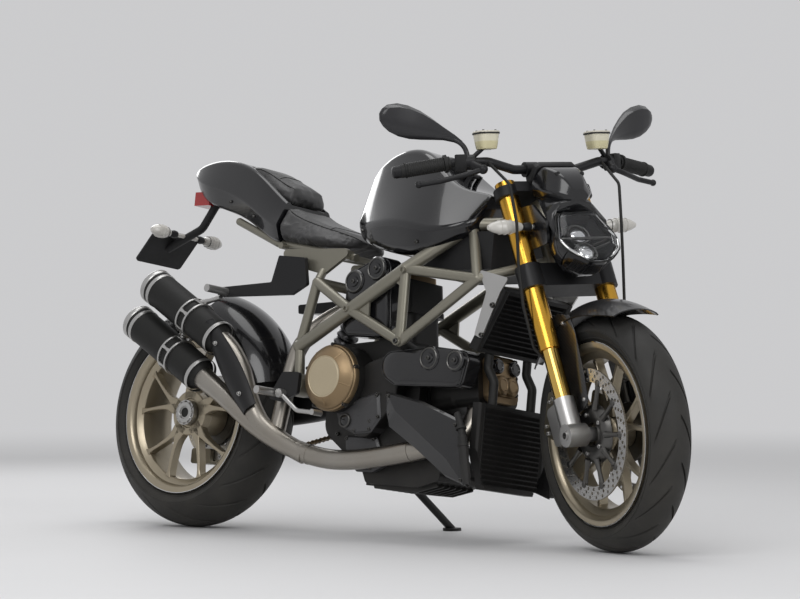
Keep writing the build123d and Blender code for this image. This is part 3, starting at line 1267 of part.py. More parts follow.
def muffler_bracket():
    """Clamp round both mufflers with a stay up to the passenger step arm."""
    run = muffler_run()
    at = MUFFLER_LENGTH * CLAMP_AT
    bands, holes = [], []
    for front in muffler_fronts():
        bands.append(rod(front + run * (at - 18), front + run * (at + 18), MUFFLER_RADIUS + CLAMP_BAND))
        holes.append(rod(front + run * (at - 40), front + run * (at + 40), MUFFLER_RADIUS + SEAT_GAP))
    x, z = PASSENGER_PEG
    start = muffler_fronts()[0] + run * at + Vector(20, 0, 30)
    stay = rod(start, (x - 20, MUFFLER_Y, STEP_LOW - SEAT_GAP - 2), 8)
    above = Pos(x, MUFFLER_Y, STEP_LOW - SEAT_GAP + 50) * Box(200, 200, 100)
    return join([*bands, stay]) - holes - above


def cooler(tall):
    """Finned core set back between two rounded side tanks, facing X, centred on the origin."""
    core = Box(RADIATOR_THICK - 8, 2 * RADIATOR_HALF - 30, tall)
    tank = Pos(0, RADIATOR_HALF - 13, -tall / 2) * extrude(RectangleRounded(RADIATOR_THICK, 26, 9), tall)
    rail = Box(RADIATOR_THICK - 2, 2 * RADIATOR_HALF - 20, 10)
    rails = [Pos(0, 0, s * (tall / 2 - 5)) * rail for s in (-1, 1)]
    return join([core, both_sides(tank), *rails])


def radiators():
    """Upper and lower coolers; the lower one's bottom corners are cut off."""
    wide, tall = LOWER_RADIATOR_CORNER
    bottom = -LOWER_RADIATOR_TALL / 2
    side = RADIATOR_HALF + 1
    corner = [(RADIATOR_HALF - wide, bottom - 1), (side, bottom - 1), (side, bottom + tall)]
    cut = extrude(Plane.YZ * make_face(Polyline(*corner, close=True)), RADIATOR_THICK, both=True)
    lower = Pos(*LOWER_RADIATOR) * (cooler(LOWER_RADIATOR_TALL) - both_sides(cut))
    upper = Pos(*UPPER_RADIATOR) * Rot(Y=UPPER_RADIATOR_TILT) * cooler(UPPER_RADIATOR_TALL)
    return join([upper, lower])


def radiator_brackets():
    """Side plates of the upper radiator, reaching the frame."""
    plates = plate_xz(RADIATOR_BRACKET, -RADIATOR_HALF - 5, -RADIATOR_HALF - SEAT_GAP, 6)
    return both_sides(plates) - frame_tubes(SEAT_GAP)


def coolant_hoses():
    """Hoses between the two coolers."""
    room = Box(RADIATOR_THICK + 40, 400, UPPER_RADIATOR_TALL + 2 * SEAT_GAP)
    room = Pos(*UPPER_RADIATOR) * Rot(Y=UPPER_RADIATOR_TILT) * room
    return both_sides(bent_tube(HOSE_LINE, HOSE_RADIUS, 20) - room)


def shroud_face(y, scale):
    """Outline of a belly panel at one distance to the side, shrunk about its middle."""
    face = make_face(Polyline(*SHROUD_OUTLINE, close=True))
    face = fillet(face.vertices(), 12)
    middle = face.center()
    face = Pos(middle.X, middle.Y) * (Pos(-middle.X, -middle.Y) * face).scale(scale)
    return Pos(0, -y, 0) * (Plane.XZ * face)


def belly_shrouds():
    """Bulged side panels ahead of the sump, on posts from the cases."""
    thick = SHROUD_OUT - SHROUD_IN
    faces = [shroud_face(SHROUD_IN + share * thick, scale) for share, scale in SHROUD_SECTIONS]
    panel = loft(faces, ruled=True)
    (x_in, z_in), (x_out, z_out) = SHROUD_POST
    post = rod((x_in, -CASE_HALF + 20, z_in), (x_out, -SHROUD_IN - 4, z_out), 9)
    case = Pos(x_in, -CASE_HALF / 2, z_in) * Box(300, CASE_HALF + 2 * SEAT_GAP, 300)
    return both_sides(panel + (post - case))


# Footrests and side stand
def peg_brackets():
    """Passenger step arms on the subframe and rider step plates on the frame bosses."""
    low, high = STEP_ARM_Y
    arm = plate_xz(STEP_ARM, -high, -low, 6)
    spacers = [cross_bar(x, z, -low - 4, -SUBFRAME_OUT - SEAT_GAP, 10) for x, z in STEP_SPACERS]
    plate = plate_xz(RIDER_STEP, -RIDER_STEP_FACE, -BOSS_OUT - SEAT_GAP, 10)
    return both_sides(join([arm, *spacers, plate]) - frame_tubes(SEAT_GAP))


def pegs_and_pedals():
    """Footpegs, and one pedal each side."""
    root = -RIDER_STEP_FACE - SEAT_GAP
    rider = cross_bar(*RIDER_PEG, root, root - PEG_LENGTH, PEG_RADIUS)
    step = -STEP_ARM_Y[1] - SEAT_GAP
    passenger = cross_bar(*PASSENGER_PEG, step, step - PEG_LENGTH, PEG_RADIUS)
    pivot = cross_bar(*PEDAL_LINE[0], root, root - 19, 2 * PEDAL_RADIUS)
    pedal = bent_tube([(x, root - 10, z) for x, z in PEDAL_LINE], PEDAL_RADIUS, 30)
    toe = cross_bar(*PEDAL_LINE[-1], root - 8, root - 44, PEDAL_RADIUS + 2)
    return both_sides(join([rider, pivot, pedal, toe, passenger]))


def side_stand():
    """Leg from the pivot eye on its stud to a flat foot on the ground."""
    pivot = Vector(*STAND_PIVOT)
    at_foot = FROM_GROUND * Location((*STAND_FOOT_PLACE, 0))
    half_eye = STAND_AXIS * STAND_EYE_HALF
    eye = rod(pivot - half_eye, pivot + half_eye, STAND_EYE_RADIUS)
    leg = rod(pivot, (at_foot * Location((0, 0, STAND_FOOT_THICK / 2))).position, STAND_LEG_RADIUS)
    pad = at_foot * Cylinder(STAND_FOOT_RADIUS, STAND_FOOT_THICK, align=BASE)
    ground = at_foot * Pos(0, 0, -50) * Box(400, 400, 100)
    bore = rod(pivot - STAND_AXIS * 60, pivot + STAND_AXIS * 60, STAND_STUD_RADIUS + RUN_GAP)
    return join([eye, leg, pad]) - ground - bore


# Pieces by the body that carries them
PIECES = {
    "chassis": {
        "frame": frame, "subframe": subframe, "crankcase": crankcase, "cylinders": cylinders,
        "head_covers": head_covers, "belt_covers": belt_covers, "clutch_cover": clutch_cover,
        "fuel_tank": fuel_tank, "airbox": airbox, "rider_seat": rider_seat, "pillion_pad": pillion_pad,
        "tail_fairing": tail_fairing, "tail_light": tail_light, "plate_hanger": plate_hanger,
        "rear_indicators": lambda: blinkers(**REAR_BLINKER),
        "swingarm": swingarm, "rear_caliper": rear_caliper, "chain": chain, "rear_hugger": rear_hugger,
        "rear_shock": rear_shock, "exhaust_pipes": exhaust_pipes, "mufflers": mufflers,
        "muffler_bracket": muffler_bracket, "radiators": radiators, "radiator_brackets": radiator_brackets,
        "coolant_hoses": coolant_hoses, "belly_shrouds": belly_shrouds, "peg_brackets": peg_brackets,
        "pegs_and_pedals": pegs_and_pedals,
    },
    "fuel_lid": {"fuel_cap": fuel_cap},
    "stand": {"side_stand": side_stand},
    "rear_wheel": {
        "rear_tyre": lambda: tyre(REAR_TYRE_RADIUS, REAR_TYRE_WIDTH, REAR_RIM_WIDTH),
        "rear_rim": rear_rim, "rear_disc": rear_disc, "rear_axle": rear_axle, "rear_sprocket": rear_sprocket,
    },
    "front_end": {
        "triple_clamps": triple_clamps, "fork_outer_tubes": fork_outer_tubes,
        "fork_stanchions": fork_stanchions, "fork_feet": fork_feet, "front_axle": front_axle,
        "front_calipers": front_calipers,
        "front_fender": front_fender, "handlebar": handlebar, "grips": grips, "hand_levers": hand_levers,
        "fluid_reservoirs": fluid_reservoirs, "mirrors": mirrors, "headlight_shell": headlight_shell,
        "headlight_lens": headlight_lens, "nose_cowl": nose_cowl, "brake_hoses": brake_hoses,
        "front_indicators": lambda: blinkers(**FRONT_BLINKER),
    },
    "front_wheel": {
        "front_tyre": lambda: tyre(FRONT_TYRE_RADIUS, FRONT_TYRE_WIDTH, FRONT_RIM_WIDTH),
        "front_rim": front_rim, "front_discs": front_discs,
    },
}
DRAWN_FROM = {"rear_wheel": REAR_AXLE, "front_end": FRONT_AXLE, "front_wheel": FRONT_AXLE}
STEERED = ("front_end", "front_wheel")


def placed(body, shape):
    """A piece of one body, upright at its place with the steering turned."""
    if body in DRAWN_FROM:
        shape = Pos(*DRAWN_FROM[body]) * shape
    if body in STEERED:
        shape = shape.rotate(STEER_AXIS, STEER_ANGLE)
    return shape


def build_all():
    """Every piece, turned and leaned into place over the origin."""
    shapes = {}
    for body, makers in PIECES.items():
        for name, maker in makers.items():
            shapes[name] = TO_GROUND * placed(body, maker())
    boxes = [shape.bounding_box() for shape in shapes.values()]
    middle_x = (min(b.min.X for b in boxes) + max(b.max.X for b in boxes)) / 2
    middle_y = (min(b.min.Y for b in boxes) + max(b.max.Y for b in boxes)) / 2
    return {name: Pos(-middle_x, -middle_y, 0) * shape for name, shape in shapes.items()}


if __name__ == "__main__":
    os.makedirs("parts", exist_ok=True)
    for name, shape in build_all().items():
        export_step(shape, f"parts/{name}.step")
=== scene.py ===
"""Looks of a naked sport motorcycle: finishes, tyres, wheels, seat, chain, lamps and small hardware."""

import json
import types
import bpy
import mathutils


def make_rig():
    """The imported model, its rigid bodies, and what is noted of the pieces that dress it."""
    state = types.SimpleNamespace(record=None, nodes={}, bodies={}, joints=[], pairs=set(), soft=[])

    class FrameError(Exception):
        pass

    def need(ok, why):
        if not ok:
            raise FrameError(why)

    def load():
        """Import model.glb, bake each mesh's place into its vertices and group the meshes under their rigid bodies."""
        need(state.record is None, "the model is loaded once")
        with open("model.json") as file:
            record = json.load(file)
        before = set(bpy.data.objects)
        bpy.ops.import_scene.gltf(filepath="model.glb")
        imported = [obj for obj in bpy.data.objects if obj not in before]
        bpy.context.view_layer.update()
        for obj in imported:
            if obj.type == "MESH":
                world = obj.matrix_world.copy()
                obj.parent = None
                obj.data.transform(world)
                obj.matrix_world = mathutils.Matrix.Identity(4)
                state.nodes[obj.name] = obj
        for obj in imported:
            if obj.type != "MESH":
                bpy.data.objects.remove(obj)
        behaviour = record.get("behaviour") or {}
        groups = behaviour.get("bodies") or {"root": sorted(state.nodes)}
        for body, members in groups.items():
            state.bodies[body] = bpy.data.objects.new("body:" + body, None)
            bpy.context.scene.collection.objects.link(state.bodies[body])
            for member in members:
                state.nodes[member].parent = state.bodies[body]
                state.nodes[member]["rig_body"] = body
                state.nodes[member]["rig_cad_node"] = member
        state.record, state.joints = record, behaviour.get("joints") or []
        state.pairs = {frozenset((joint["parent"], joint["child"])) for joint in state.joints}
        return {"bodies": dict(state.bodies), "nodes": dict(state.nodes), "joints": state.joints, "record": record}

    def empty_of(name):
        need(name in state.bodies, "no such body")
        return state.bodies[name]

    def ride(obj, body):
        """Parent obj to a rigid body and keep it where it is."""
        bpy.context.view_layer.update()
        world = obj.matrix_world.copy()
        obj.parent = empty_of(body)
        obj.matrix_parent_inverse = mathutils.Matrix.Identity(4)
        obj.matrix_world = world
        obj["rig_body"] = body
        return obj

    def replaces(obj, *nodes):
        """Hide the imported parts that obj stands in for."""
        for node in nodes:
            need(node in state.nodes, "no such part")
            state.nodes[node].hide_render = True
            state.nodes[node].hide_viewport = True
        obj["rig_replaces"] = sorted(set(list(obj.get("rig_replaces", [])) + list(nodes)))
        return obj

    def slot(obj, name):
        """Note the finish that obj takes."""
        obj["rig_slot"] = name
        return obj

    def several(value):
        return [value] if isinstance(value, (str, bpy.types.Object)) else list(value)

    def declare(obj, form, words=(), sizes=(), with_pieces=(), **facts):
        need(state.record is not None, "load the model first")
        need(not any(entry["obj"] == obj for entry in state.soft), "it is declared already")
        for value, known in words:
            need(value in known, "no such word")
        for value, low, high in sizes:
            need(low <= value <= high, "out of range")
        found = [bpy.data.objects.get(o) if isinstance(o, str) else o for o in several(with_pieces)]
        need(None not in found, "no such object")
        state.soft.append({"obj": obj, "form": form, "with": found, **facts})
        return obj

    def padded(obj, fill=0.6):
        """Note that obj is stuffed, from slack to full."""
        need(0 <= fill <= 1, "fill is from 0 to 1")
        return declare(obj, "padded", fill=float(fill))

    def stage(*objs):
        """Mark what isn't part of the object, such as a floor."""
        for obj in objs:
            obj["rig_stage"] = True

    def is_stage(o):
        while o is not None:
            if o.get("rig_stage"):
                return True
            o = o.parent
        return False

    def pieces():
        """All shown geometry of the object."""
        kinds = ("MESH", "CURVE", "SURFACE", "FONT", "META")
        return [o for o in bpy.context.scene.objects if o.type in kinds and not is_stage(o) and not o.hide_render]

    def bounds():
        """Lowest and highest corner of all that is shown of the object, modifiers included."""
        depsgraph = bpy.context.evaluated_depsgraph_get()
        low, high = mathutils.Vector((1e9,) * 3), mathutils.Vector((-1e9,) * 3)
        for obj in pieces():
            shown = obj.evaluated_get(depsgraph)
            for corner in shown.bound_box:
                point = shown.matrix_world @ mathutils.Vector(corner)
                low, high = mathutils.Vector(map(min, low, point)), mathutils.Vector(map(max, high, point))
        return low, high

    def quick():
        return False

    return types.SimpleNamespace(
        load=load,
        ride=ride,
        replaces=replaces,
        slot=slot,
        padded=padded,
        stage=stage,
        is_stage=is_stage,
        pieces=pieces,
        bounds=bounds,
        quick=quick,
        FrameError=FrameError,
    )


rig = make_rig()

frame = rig.load()
CAD_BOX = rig.bounds()

import json
import math

import bmesh
import bpy
from bpy.props import FloatProperty, FloatVectorProperty, IntProperty, PointerProperty
from mathutils import Matrix, Vector
from mathutils.bvhtree import BVHTree

bl_info = {
    "name": "Sport motorcycle looks",
    "version": (1, 0, 0),
    "blender": (4, 5, 0),
    "location": "View3D > Sidebar > Motorcycle",
    "description": "Dresses the packed motorcycle with its finishes, soft parts and small hardware",
    "category": "Object",
}

# Places in metres on the upright machine: X ahead of mid wheelbase, Y to the rider's left, Z up
MM = 0.001
JOINTS = {joint["name"]: joint for joint in frame["joints"]}
REAR_AXLE = Vector((-737.5, 0, 320.4)) * MM
FRONT_AXLE = Vector((737.5, 0, 299.9)) * MM
LEAN = math.radians(8.0)
PITCH = math.radians(-0.046)
TURNED = math.radians(-23.5)
RAKE = math.radians(24.0)
STEER_UP = Vector((-math.sin(RAKE), 0, math.cos(RAKE)))
STEER_AHEAD = Vector((math.cos(RAKE), 0, math.sin(RAKE)))
FORK_OFFSET = 0.2999 * math.sin(RAKE) - 0.102 * math.cos(RAKE)
ACROSS = Vector((0, 1, 0))
RIGHT = -ACROSS
AHEAD = Vector((1, 0, 0))
UP = Vector((0, 0, 1))


def upright_to_row():
    """Matrix from the upright machine to the packed, leaning one."""
    axle = Vector(JOINTS["rear_wheel_spin"]["pos_m"])
    tilt = Matrix.Rotation(-LEAN, 4, "X") @ Matrix.Rotation(PITCH, 4, "Y")
    return Matrix.Translation(axle) @ tilt @ Matrix.Translation(-REAR_AXLE)


def place_of(body):
    """Matrix from the upright, straight machine to a body's place at rest."""
    upright = upright_to_row()
    if body not in ("front_end", "front_wheel"):
        return upright
    pivot = Vector(JOINTS["steering"]["pos_m"])
    turn = Matrix.Rotation(TURNED, 4, Vector(JOINTS["steering"]["axis"]))
    return Matrix.Translation(pivot) @ turn @ Matrix.Translation(-pivot) @ upright


def mm(x, y, z):
    """Point of the upright machine from millimetres."""
    return Vector((x, y, z)) * MM


def fork(ahead, out, up):
    """Point in the fork's own frame, in millimetres: ahead of the steering axis, left, up along it."""
    base = FRONT_AXLE - STEER_AHEAD * FORK_OFFSET
    return base + (STEER_AHEAD * ahead + ACROSS * out + STEER_UP * up) * MM


def spoke(a):
    """Direction square to the axles at an angle from straight ahead."""
    return Vector((math.cos(a), 0, math.sin(a)))


def spokes(count, start=0.0):
    """Even directions square to the axles, the first turned by a share of the step."""
    turns = [math.tau * (k + start) / count for k in range(count)]
    return [spoke(a) for a in turns]


def in_mm(rows):
    """Rows of a profile, from millimetres."""
    return [(radius * MM, along * MM) for radius, along in rows]


# Mesh pieces
def frame_of(axis):
    """Two directions square to an axis."""
    axis = axis.normalized()
    side = axis.cross(UP if abs(axis.z) < 0.9 else AHEAD).normalized()
    return side, axis.cross(side)


class Shape:
    """Points and faces of one piece, gathered on the upright machine."""

    def __init__(self):
        self.points = []
        self.faces = []
        self.finishes = []

    def grid(self, rows, wrap_rows=False, wrap_columns=False, finish=0):
        """Quads over rows of points."""
        first = len(self.points)
        count = len(rows[0])
        for row in rows:
            self.points += row
        tall = len(rows) if wrap_rows else len(rows) - 1
        wide = count if wrap_columns else count - 1
        for i in range(tall):
            for j in range(wide):
                k = (i + 1) % len(rows)
                n = (j + 1) % count
                self.faces.append([
                    first + i * count + j, first + i * count + n, first + k * count + n,
                    first + k * count + j])
                self.finishes.append(finish)

    def cap(self, ring, finish=0, flip=False):
        """One face over a ring of points."""
        first = len(self.points)
        self.points += ring
        order = list(range(first, first + len(ring)))
        self.faces.append(order[::-1] if flip else order)
        self.finishes.append(finish)

    def lathe(self, profile, centre, axis, steps=24, finish=0):
        """Turned shape: profile rows are radius and distance along the axis, in metres."""
        axis = axis.normalized()
        side, up = frame_of(axis)
        rows = []
        for k in range(steps):
            a = math.tau * k / steps
            out = side * math.cos(a) + up * math.sin(a)
            rows.append([centre + out * max(radius, 1e-5) + axis * along for radius, along in profile])
        self.grid(rows, wrap_rows=True, finish=finish)

    def disc(self, centre, axis, radius, thick, steps=24, finish=0, edge=0.12):
        """Round plate with softened rims."""
        soft = edge * min(radius, thick)
        rows = [
            (0, 0), (radius - soft, 0), (radius, soft), (radius, thick - soft), (radius - soft, thick),
            (0, thick)]
        self.lathe(rows, centre, axis, steps, finish)

    def bolt(self, centre, axis, radius, height, finish=0):
        """Socket head screw standing on a surface."""
        low = 0.45 * height
        rows = [(0, low), (0.48 * radius, low), (0.55 * radius, 0.96 * height), (0.84 * radius, height)]
        rows += [
            (radius, 0.84 * height), (radius, 0.0), (1.35 * radius, 0.0), (1.35 * radius, -0.2 * height),
            (0, -0.2 * height)]
        self.lathe(rows, centre, axis, 12, finish)

    def tube(self, points, radius, sides=10, closed=False, finish=0):
        """Round tube along points, with radius one number or one for each point."""
        radii = radius if isinstance(radius, (list, tuple)) else [radius] * len(points)
        count = len(points)
        rows = []
        normal = None
        for k, point in enumerate(points):
            after = points[(k + 1) % count] if closed or k + 1 < count else point
            before = points[k - 1] if closed or k else point
            along = (after - before).normalized()
            if normal is None:
                normal, _ = frame_of(along)
            normal = (normal - along * normal.dot(along)).normalized()
            other = along.cross(normal)
            ring = []
            for s in range(sides):
                a = math.tau * s / sides
                ring.append(point + (normal * math.cos(a) + other * math.sin(a)) * radii[k])
            rows.append(ring)
        self.grid(rows, wrap_rows=closed, wrap_columns=True, finish=finish)
        if not closed:
            self.cap(rows[0], finish, True)
            self.cap(rows[-1], finish)

    def plate(self, outline, origin, u, v, thick, finish=0, soft=0.0):
        """Plate with an outline in the plane of u and v, with its rims softened."""
        out = u.cross(v).normalized()
        middle = Vector((sum(p[0] for p in outline), sum(p[1] for p in outline))) / len(outline)

        def ring(inset, height):
            found = []
            for p in outline:
                flat = Vector(p)
                away = flat - middle
                flat = flat - away.normalized() * min(inset, 0.5 * away.length)
                found.append(origin + u * flat.x + v * flat.y + out * height)
            return found

        if soft:
            rings = [ring(soft, 0), ring(0, soft), ring(0, thick - soft), ring(soft, thick)]
        else:
            rings = [ring(0, 0), ring(0, thick)]
        self.grid(rings, wrap_columns=True, finish=finish)
        self.cap(rings[0], finish, True)
        self.cap(rings[-1], finish)

    def make(self, name, body, slot, looks, smooth=40.0):
        """Object from the gathered faces, set at its place and riding on its body."""
        mesh = bpy.data.meshes.new(name)
        mesh.from_pydata([tuple(p) for p in self.points], [], self.faces)
        for face, finish in zip(mesh.polygons, self.finishes):
            face.material_index = finish
        tidy = bmesh.new()
        tidy.from_mesh(mesh)
        bmesh.ops.remove_doubles(tidy, verts=tidy.verts, dist=2e-5)
        bmesh.ops.dissolve_degenerate(tidy, edges=tidy.edges, dist=1e-6)
        bmesh.ops.recalc_face_normals(tidy, faces=tidy.faces)
        tidy.to_mesh(mesh)
        tidy.free()
        mesh.transform(place_of(body))
        return add_piece(name, mesh, body, slot, looks, smooth)


def add_piece(name, mesh, body, slot, looks, smooth=40.0):
    """Object of a mesh that is already in place."""
    for look in looks:
        mesh.materials.append(finish(look))
    mesh.set_sharp_from_angle(angle=math.radians(smooth))
    mesh.polygons.foreach_set("use_smooth", [True] * len(mesh.polygons))
    piece = bpy.data.objects.new(name, mesh)
    bpy.context.scene.collection.objects.link(piece)
    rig.ride(piece, body)
    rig.slot(piece, slot)
    return piece


def arc(points, steps=8):
    """Smooth line through points, by rounding between their midpoints."""
    line = [points[0]]
    for k in range(1, len(points) - 1):
        a = (points[k - 1] + points[k]) / 2 if k > 1 else points[0]
        b = (points[k] + points[k + 1]) / 2 if k < len(points) - 2 else points[-1]
        for s in range(1, steps + 1):
            t = s / steps
            line.append(a * (1 - t) ** 2 + points[k] * 2 * t * (1 - t) + b * t * t)
    return line if len(points) > 2 else list(points)


# Shared surface effects, one node group each
def new_group(name, inputs, outputs):
    """Empty node group, what it is given and what it hands out."""
    group = bpy.data.node_groups.new(name, "ShaderNodeTree")
    for title, kind, value in inputs:
        socket = group.interface.new_socket(title, in_out="INPUT", socket_type="NodeSocket" + kind)
        if value is not None:
            socket.default_value = value
    for title, kind in outputs:
        group.interface.new_socket(title, in_out="OUTPUT", socket_type="NodeSocket" + kind)
    given, made = group.nodes.new("NodeGroupInput"), group.nodes.new("NodeGroupOutput")
    return group, given.outputs, made.inputs


def math_node(tree, operation, a, b=None):
    """Math node with linked or set inputs."""
    node = tree.nodes.new("ShaderNodeMath")
    node.operation = operation
    for socket, value in zip(node.inputs, (a, b)):
        if value is None:
            continue
        if isinstance(value, (int, float)):
            socket.default_value = value
        else:
            tree.links.new(value, socket)
    return node.outputs[0]


def mix_colour(tree, share, a, b):
    """Mix of two colours by a mask."""
    node = tree.nodes.new("ShaderNodeMix")
    node.data_type = "RGBA"
    for socket, value in ((node.inputs["Factor"], share), (node.inputs[6], a), (node.inputs[7], b)):
        if isinstance(value, bpy.types.NodeSocket):
            tree.links.new(value, socket)
        else:
            socket.default_value = value
    return node.outputs[2]


def noise(tree, vector, scale, detail=3.0):
    """Noise value at a linked or set scale."""
    node = tree.nodes.new("ShaderNodeTexNoise")
    node.inputs["Detail"].default_value = detail
    tree.links.new(vector, node.inputs["Vector"])
    if isinstance(scale, (int, float)):
        node.inputs["Scale"].default_value = scale
    else:
        tree.links.new(scale, node.inputs["Scale"])
    return node.outputs["Fac"]


def drift_group():
    """Slow change of tone and gloss over a surface."""
    group, given, made = new_group(
        "Tone drift",
        [
            ("Vector", "Vector", None), ("Colour", "Color", (0.5, 0.5, 0.5, 1)),
            ("Other colour", "Color", (0.4, 0.4, 0.4, 1)), ("Scale", "Float", 6.0),
            ("Roughness", "Float", 0.4), ("Spread", "Float", 0.1)],
        [("Colour", "Color"), ("Roughness", "Float")])
    slow = noise(group, given["Vector"], given["Scale"])
    fine = noise(group, given["Vector"], math_node(group, "MULTIPLY", given["Scale"], 9.0), 4.0)
    group.links.new(mix_colour(group, slow, given["Colour"], given["Other colour"]), made["Colour"])
    away = math_node(group, "SUBTRACT", math_node(group, "ADD", slow, fine), 1.0)
    gloss = math_node(group, "ADD", given["Roughness"], math_node(group, "MULTIPLY", away, given["Spread"]))
    group.links.new(gloss, made["Roughness"])
    return group


def dust_group():
    """Road dust that settles low down and in patches."""
    group, given, made = new_group(
        "Road dust",
        [
            ("Vector", "Vector", None), ("Colour", "Color", (0.5, 0.5, 0.5, 1)),
            ("Dust", "Color", (0.2, 0.18, 0.15, 1)), ("Amount", "Float", 0.3), ("Top", "Float", 0.7)],
        [("Colour", "Color"), ("Mask", "Float")])
    split = group.nodes.new("ShaderNodeSeparateXYZ")
    group.links.new(given["Vector"], split.inputs[0])
    low = math_node(
        group, "DIVIDE", math_node(group, "SUBTRACT", given["Top"], split.outputs["Z"]), given["Top"])
    patch = noise(group, given["Vector"], 14.0, 5.0)
    mask = math_node(
        group, "MULTIPLY", math_node(group, "MULTIPLY", math_node(group, "MAXIMUM", low, 0.0), patch),
        given["Amount"])
    group.links.new(mask, made["Mask"])
    group.links.new(mix_colour(group, mask, given["Colour"], given["Dust"]), made["Colour"])
    return group


def grain_group():
    """Fine grain of cast metal, moulded plastic or leather."""
    group, given, made = new_group(
        "Surface grain",
        [("Vector", "Vector", None), ("Scale", "Float", 900.0), ("Cells", "Float", 0.5)],
        [("Height", "Float")],
    )
    cells = group.nodes.new("ShaderNodeTexVoronoi")
    group.links.new(given["Vector"], cells.inputs["Vector"])
    group.links.new(given["Scale"], cells.inputs["Scale"])
    fine = noise(group, given["Vector"], given["Scale"], 4.0)
    by_cells = math_node(group, "MULTIPLY", cells.outputs["Distance"], given["Cells"])
    group.links.new(math_node(group, "ADD", fine, by_cells), made["Height"])
    return group


def brushed_group():
    """Fine lines of a brushed or turned metal."""
    group, given, made = new_group(
        "Brushed lines",
        [
            ("Vector", "Vector", None), ("Stretch", "Vector", (20, 900, 900)), ("Roughness", "Float", 0.3),
            ("Spread", "Float", 0.2)],
        [("Roughness", "Float"), ("Height", "Float")])
    scaled = group.nodes.new("ShaderNodeVectorMath")
    scaled.operation = "MULTIPLY"
    group.links.new(given["Vector"], scaled.inputs[0])
    group.links.new(given["Stretch"], scaled.inputs[1])
    lines = noise(group, scaled.outputs[0], 1.0, 3.0)
    group.links.new(lines, made["Height"])
    away = math_node(group, "MULTIPLY", math_node(group, "SUBTRACT", lines, 0.5), given["Spread"])
    group.links.new(math_node(group, "ADD", given["Roughness"], away), made["Roughness"])
    return group


def weave_group():
    """Twill weave of carbon fibre: mask of the bundles and their height."""
    group, given, made = new_group(
        "Twill weave",
        [("Vector", "Vector", None), ("Scale", "Float", 240.0)],
        [("Mask", "Float"), ("Height", "Float")],
    )
    split = group.nodes.new("ShaderNodeSeparateXYZ")
    group.links.new(given["Vector"], split.inputs[0])
    run = math_node(
        group, "MULTIPLY", math_node(group, "ADD", split.outputs["X"], split.outputs["Z"]), given["Scale"])
    side = math_node(
        group, "MULTIPLY", math_node(group, "SUBTRACT", split.outputs["Z"], split.outputs["Y"]),
        given["Scale"])
    steps = math_node(group, "ADD", math_node(group, "FLOOR", run), math_node(group, "FLOOR", side))
    mask = math_node(group, "GREATER_THAN", math_node(group, "FLOORED_MODULO", steps, 4.0), 1.5)
    group.links.new(mask, made["Mask"])
    group.links.new(math_node(group, "PINGPONG", run, 0.5), made["Height"])
    return group


EFFECTS = {}


def effect(name):
    """A shared effect, built when first used."""
    makers = {
        "drift": drift_group, "dust": dust_group, "grain": grain_group, "brushed": brushed_group,
        "weave": weave_group}
    if name not in EFFECTS:
        EFFECTS[name] = makers[name]()
    return EFFECTS[name]


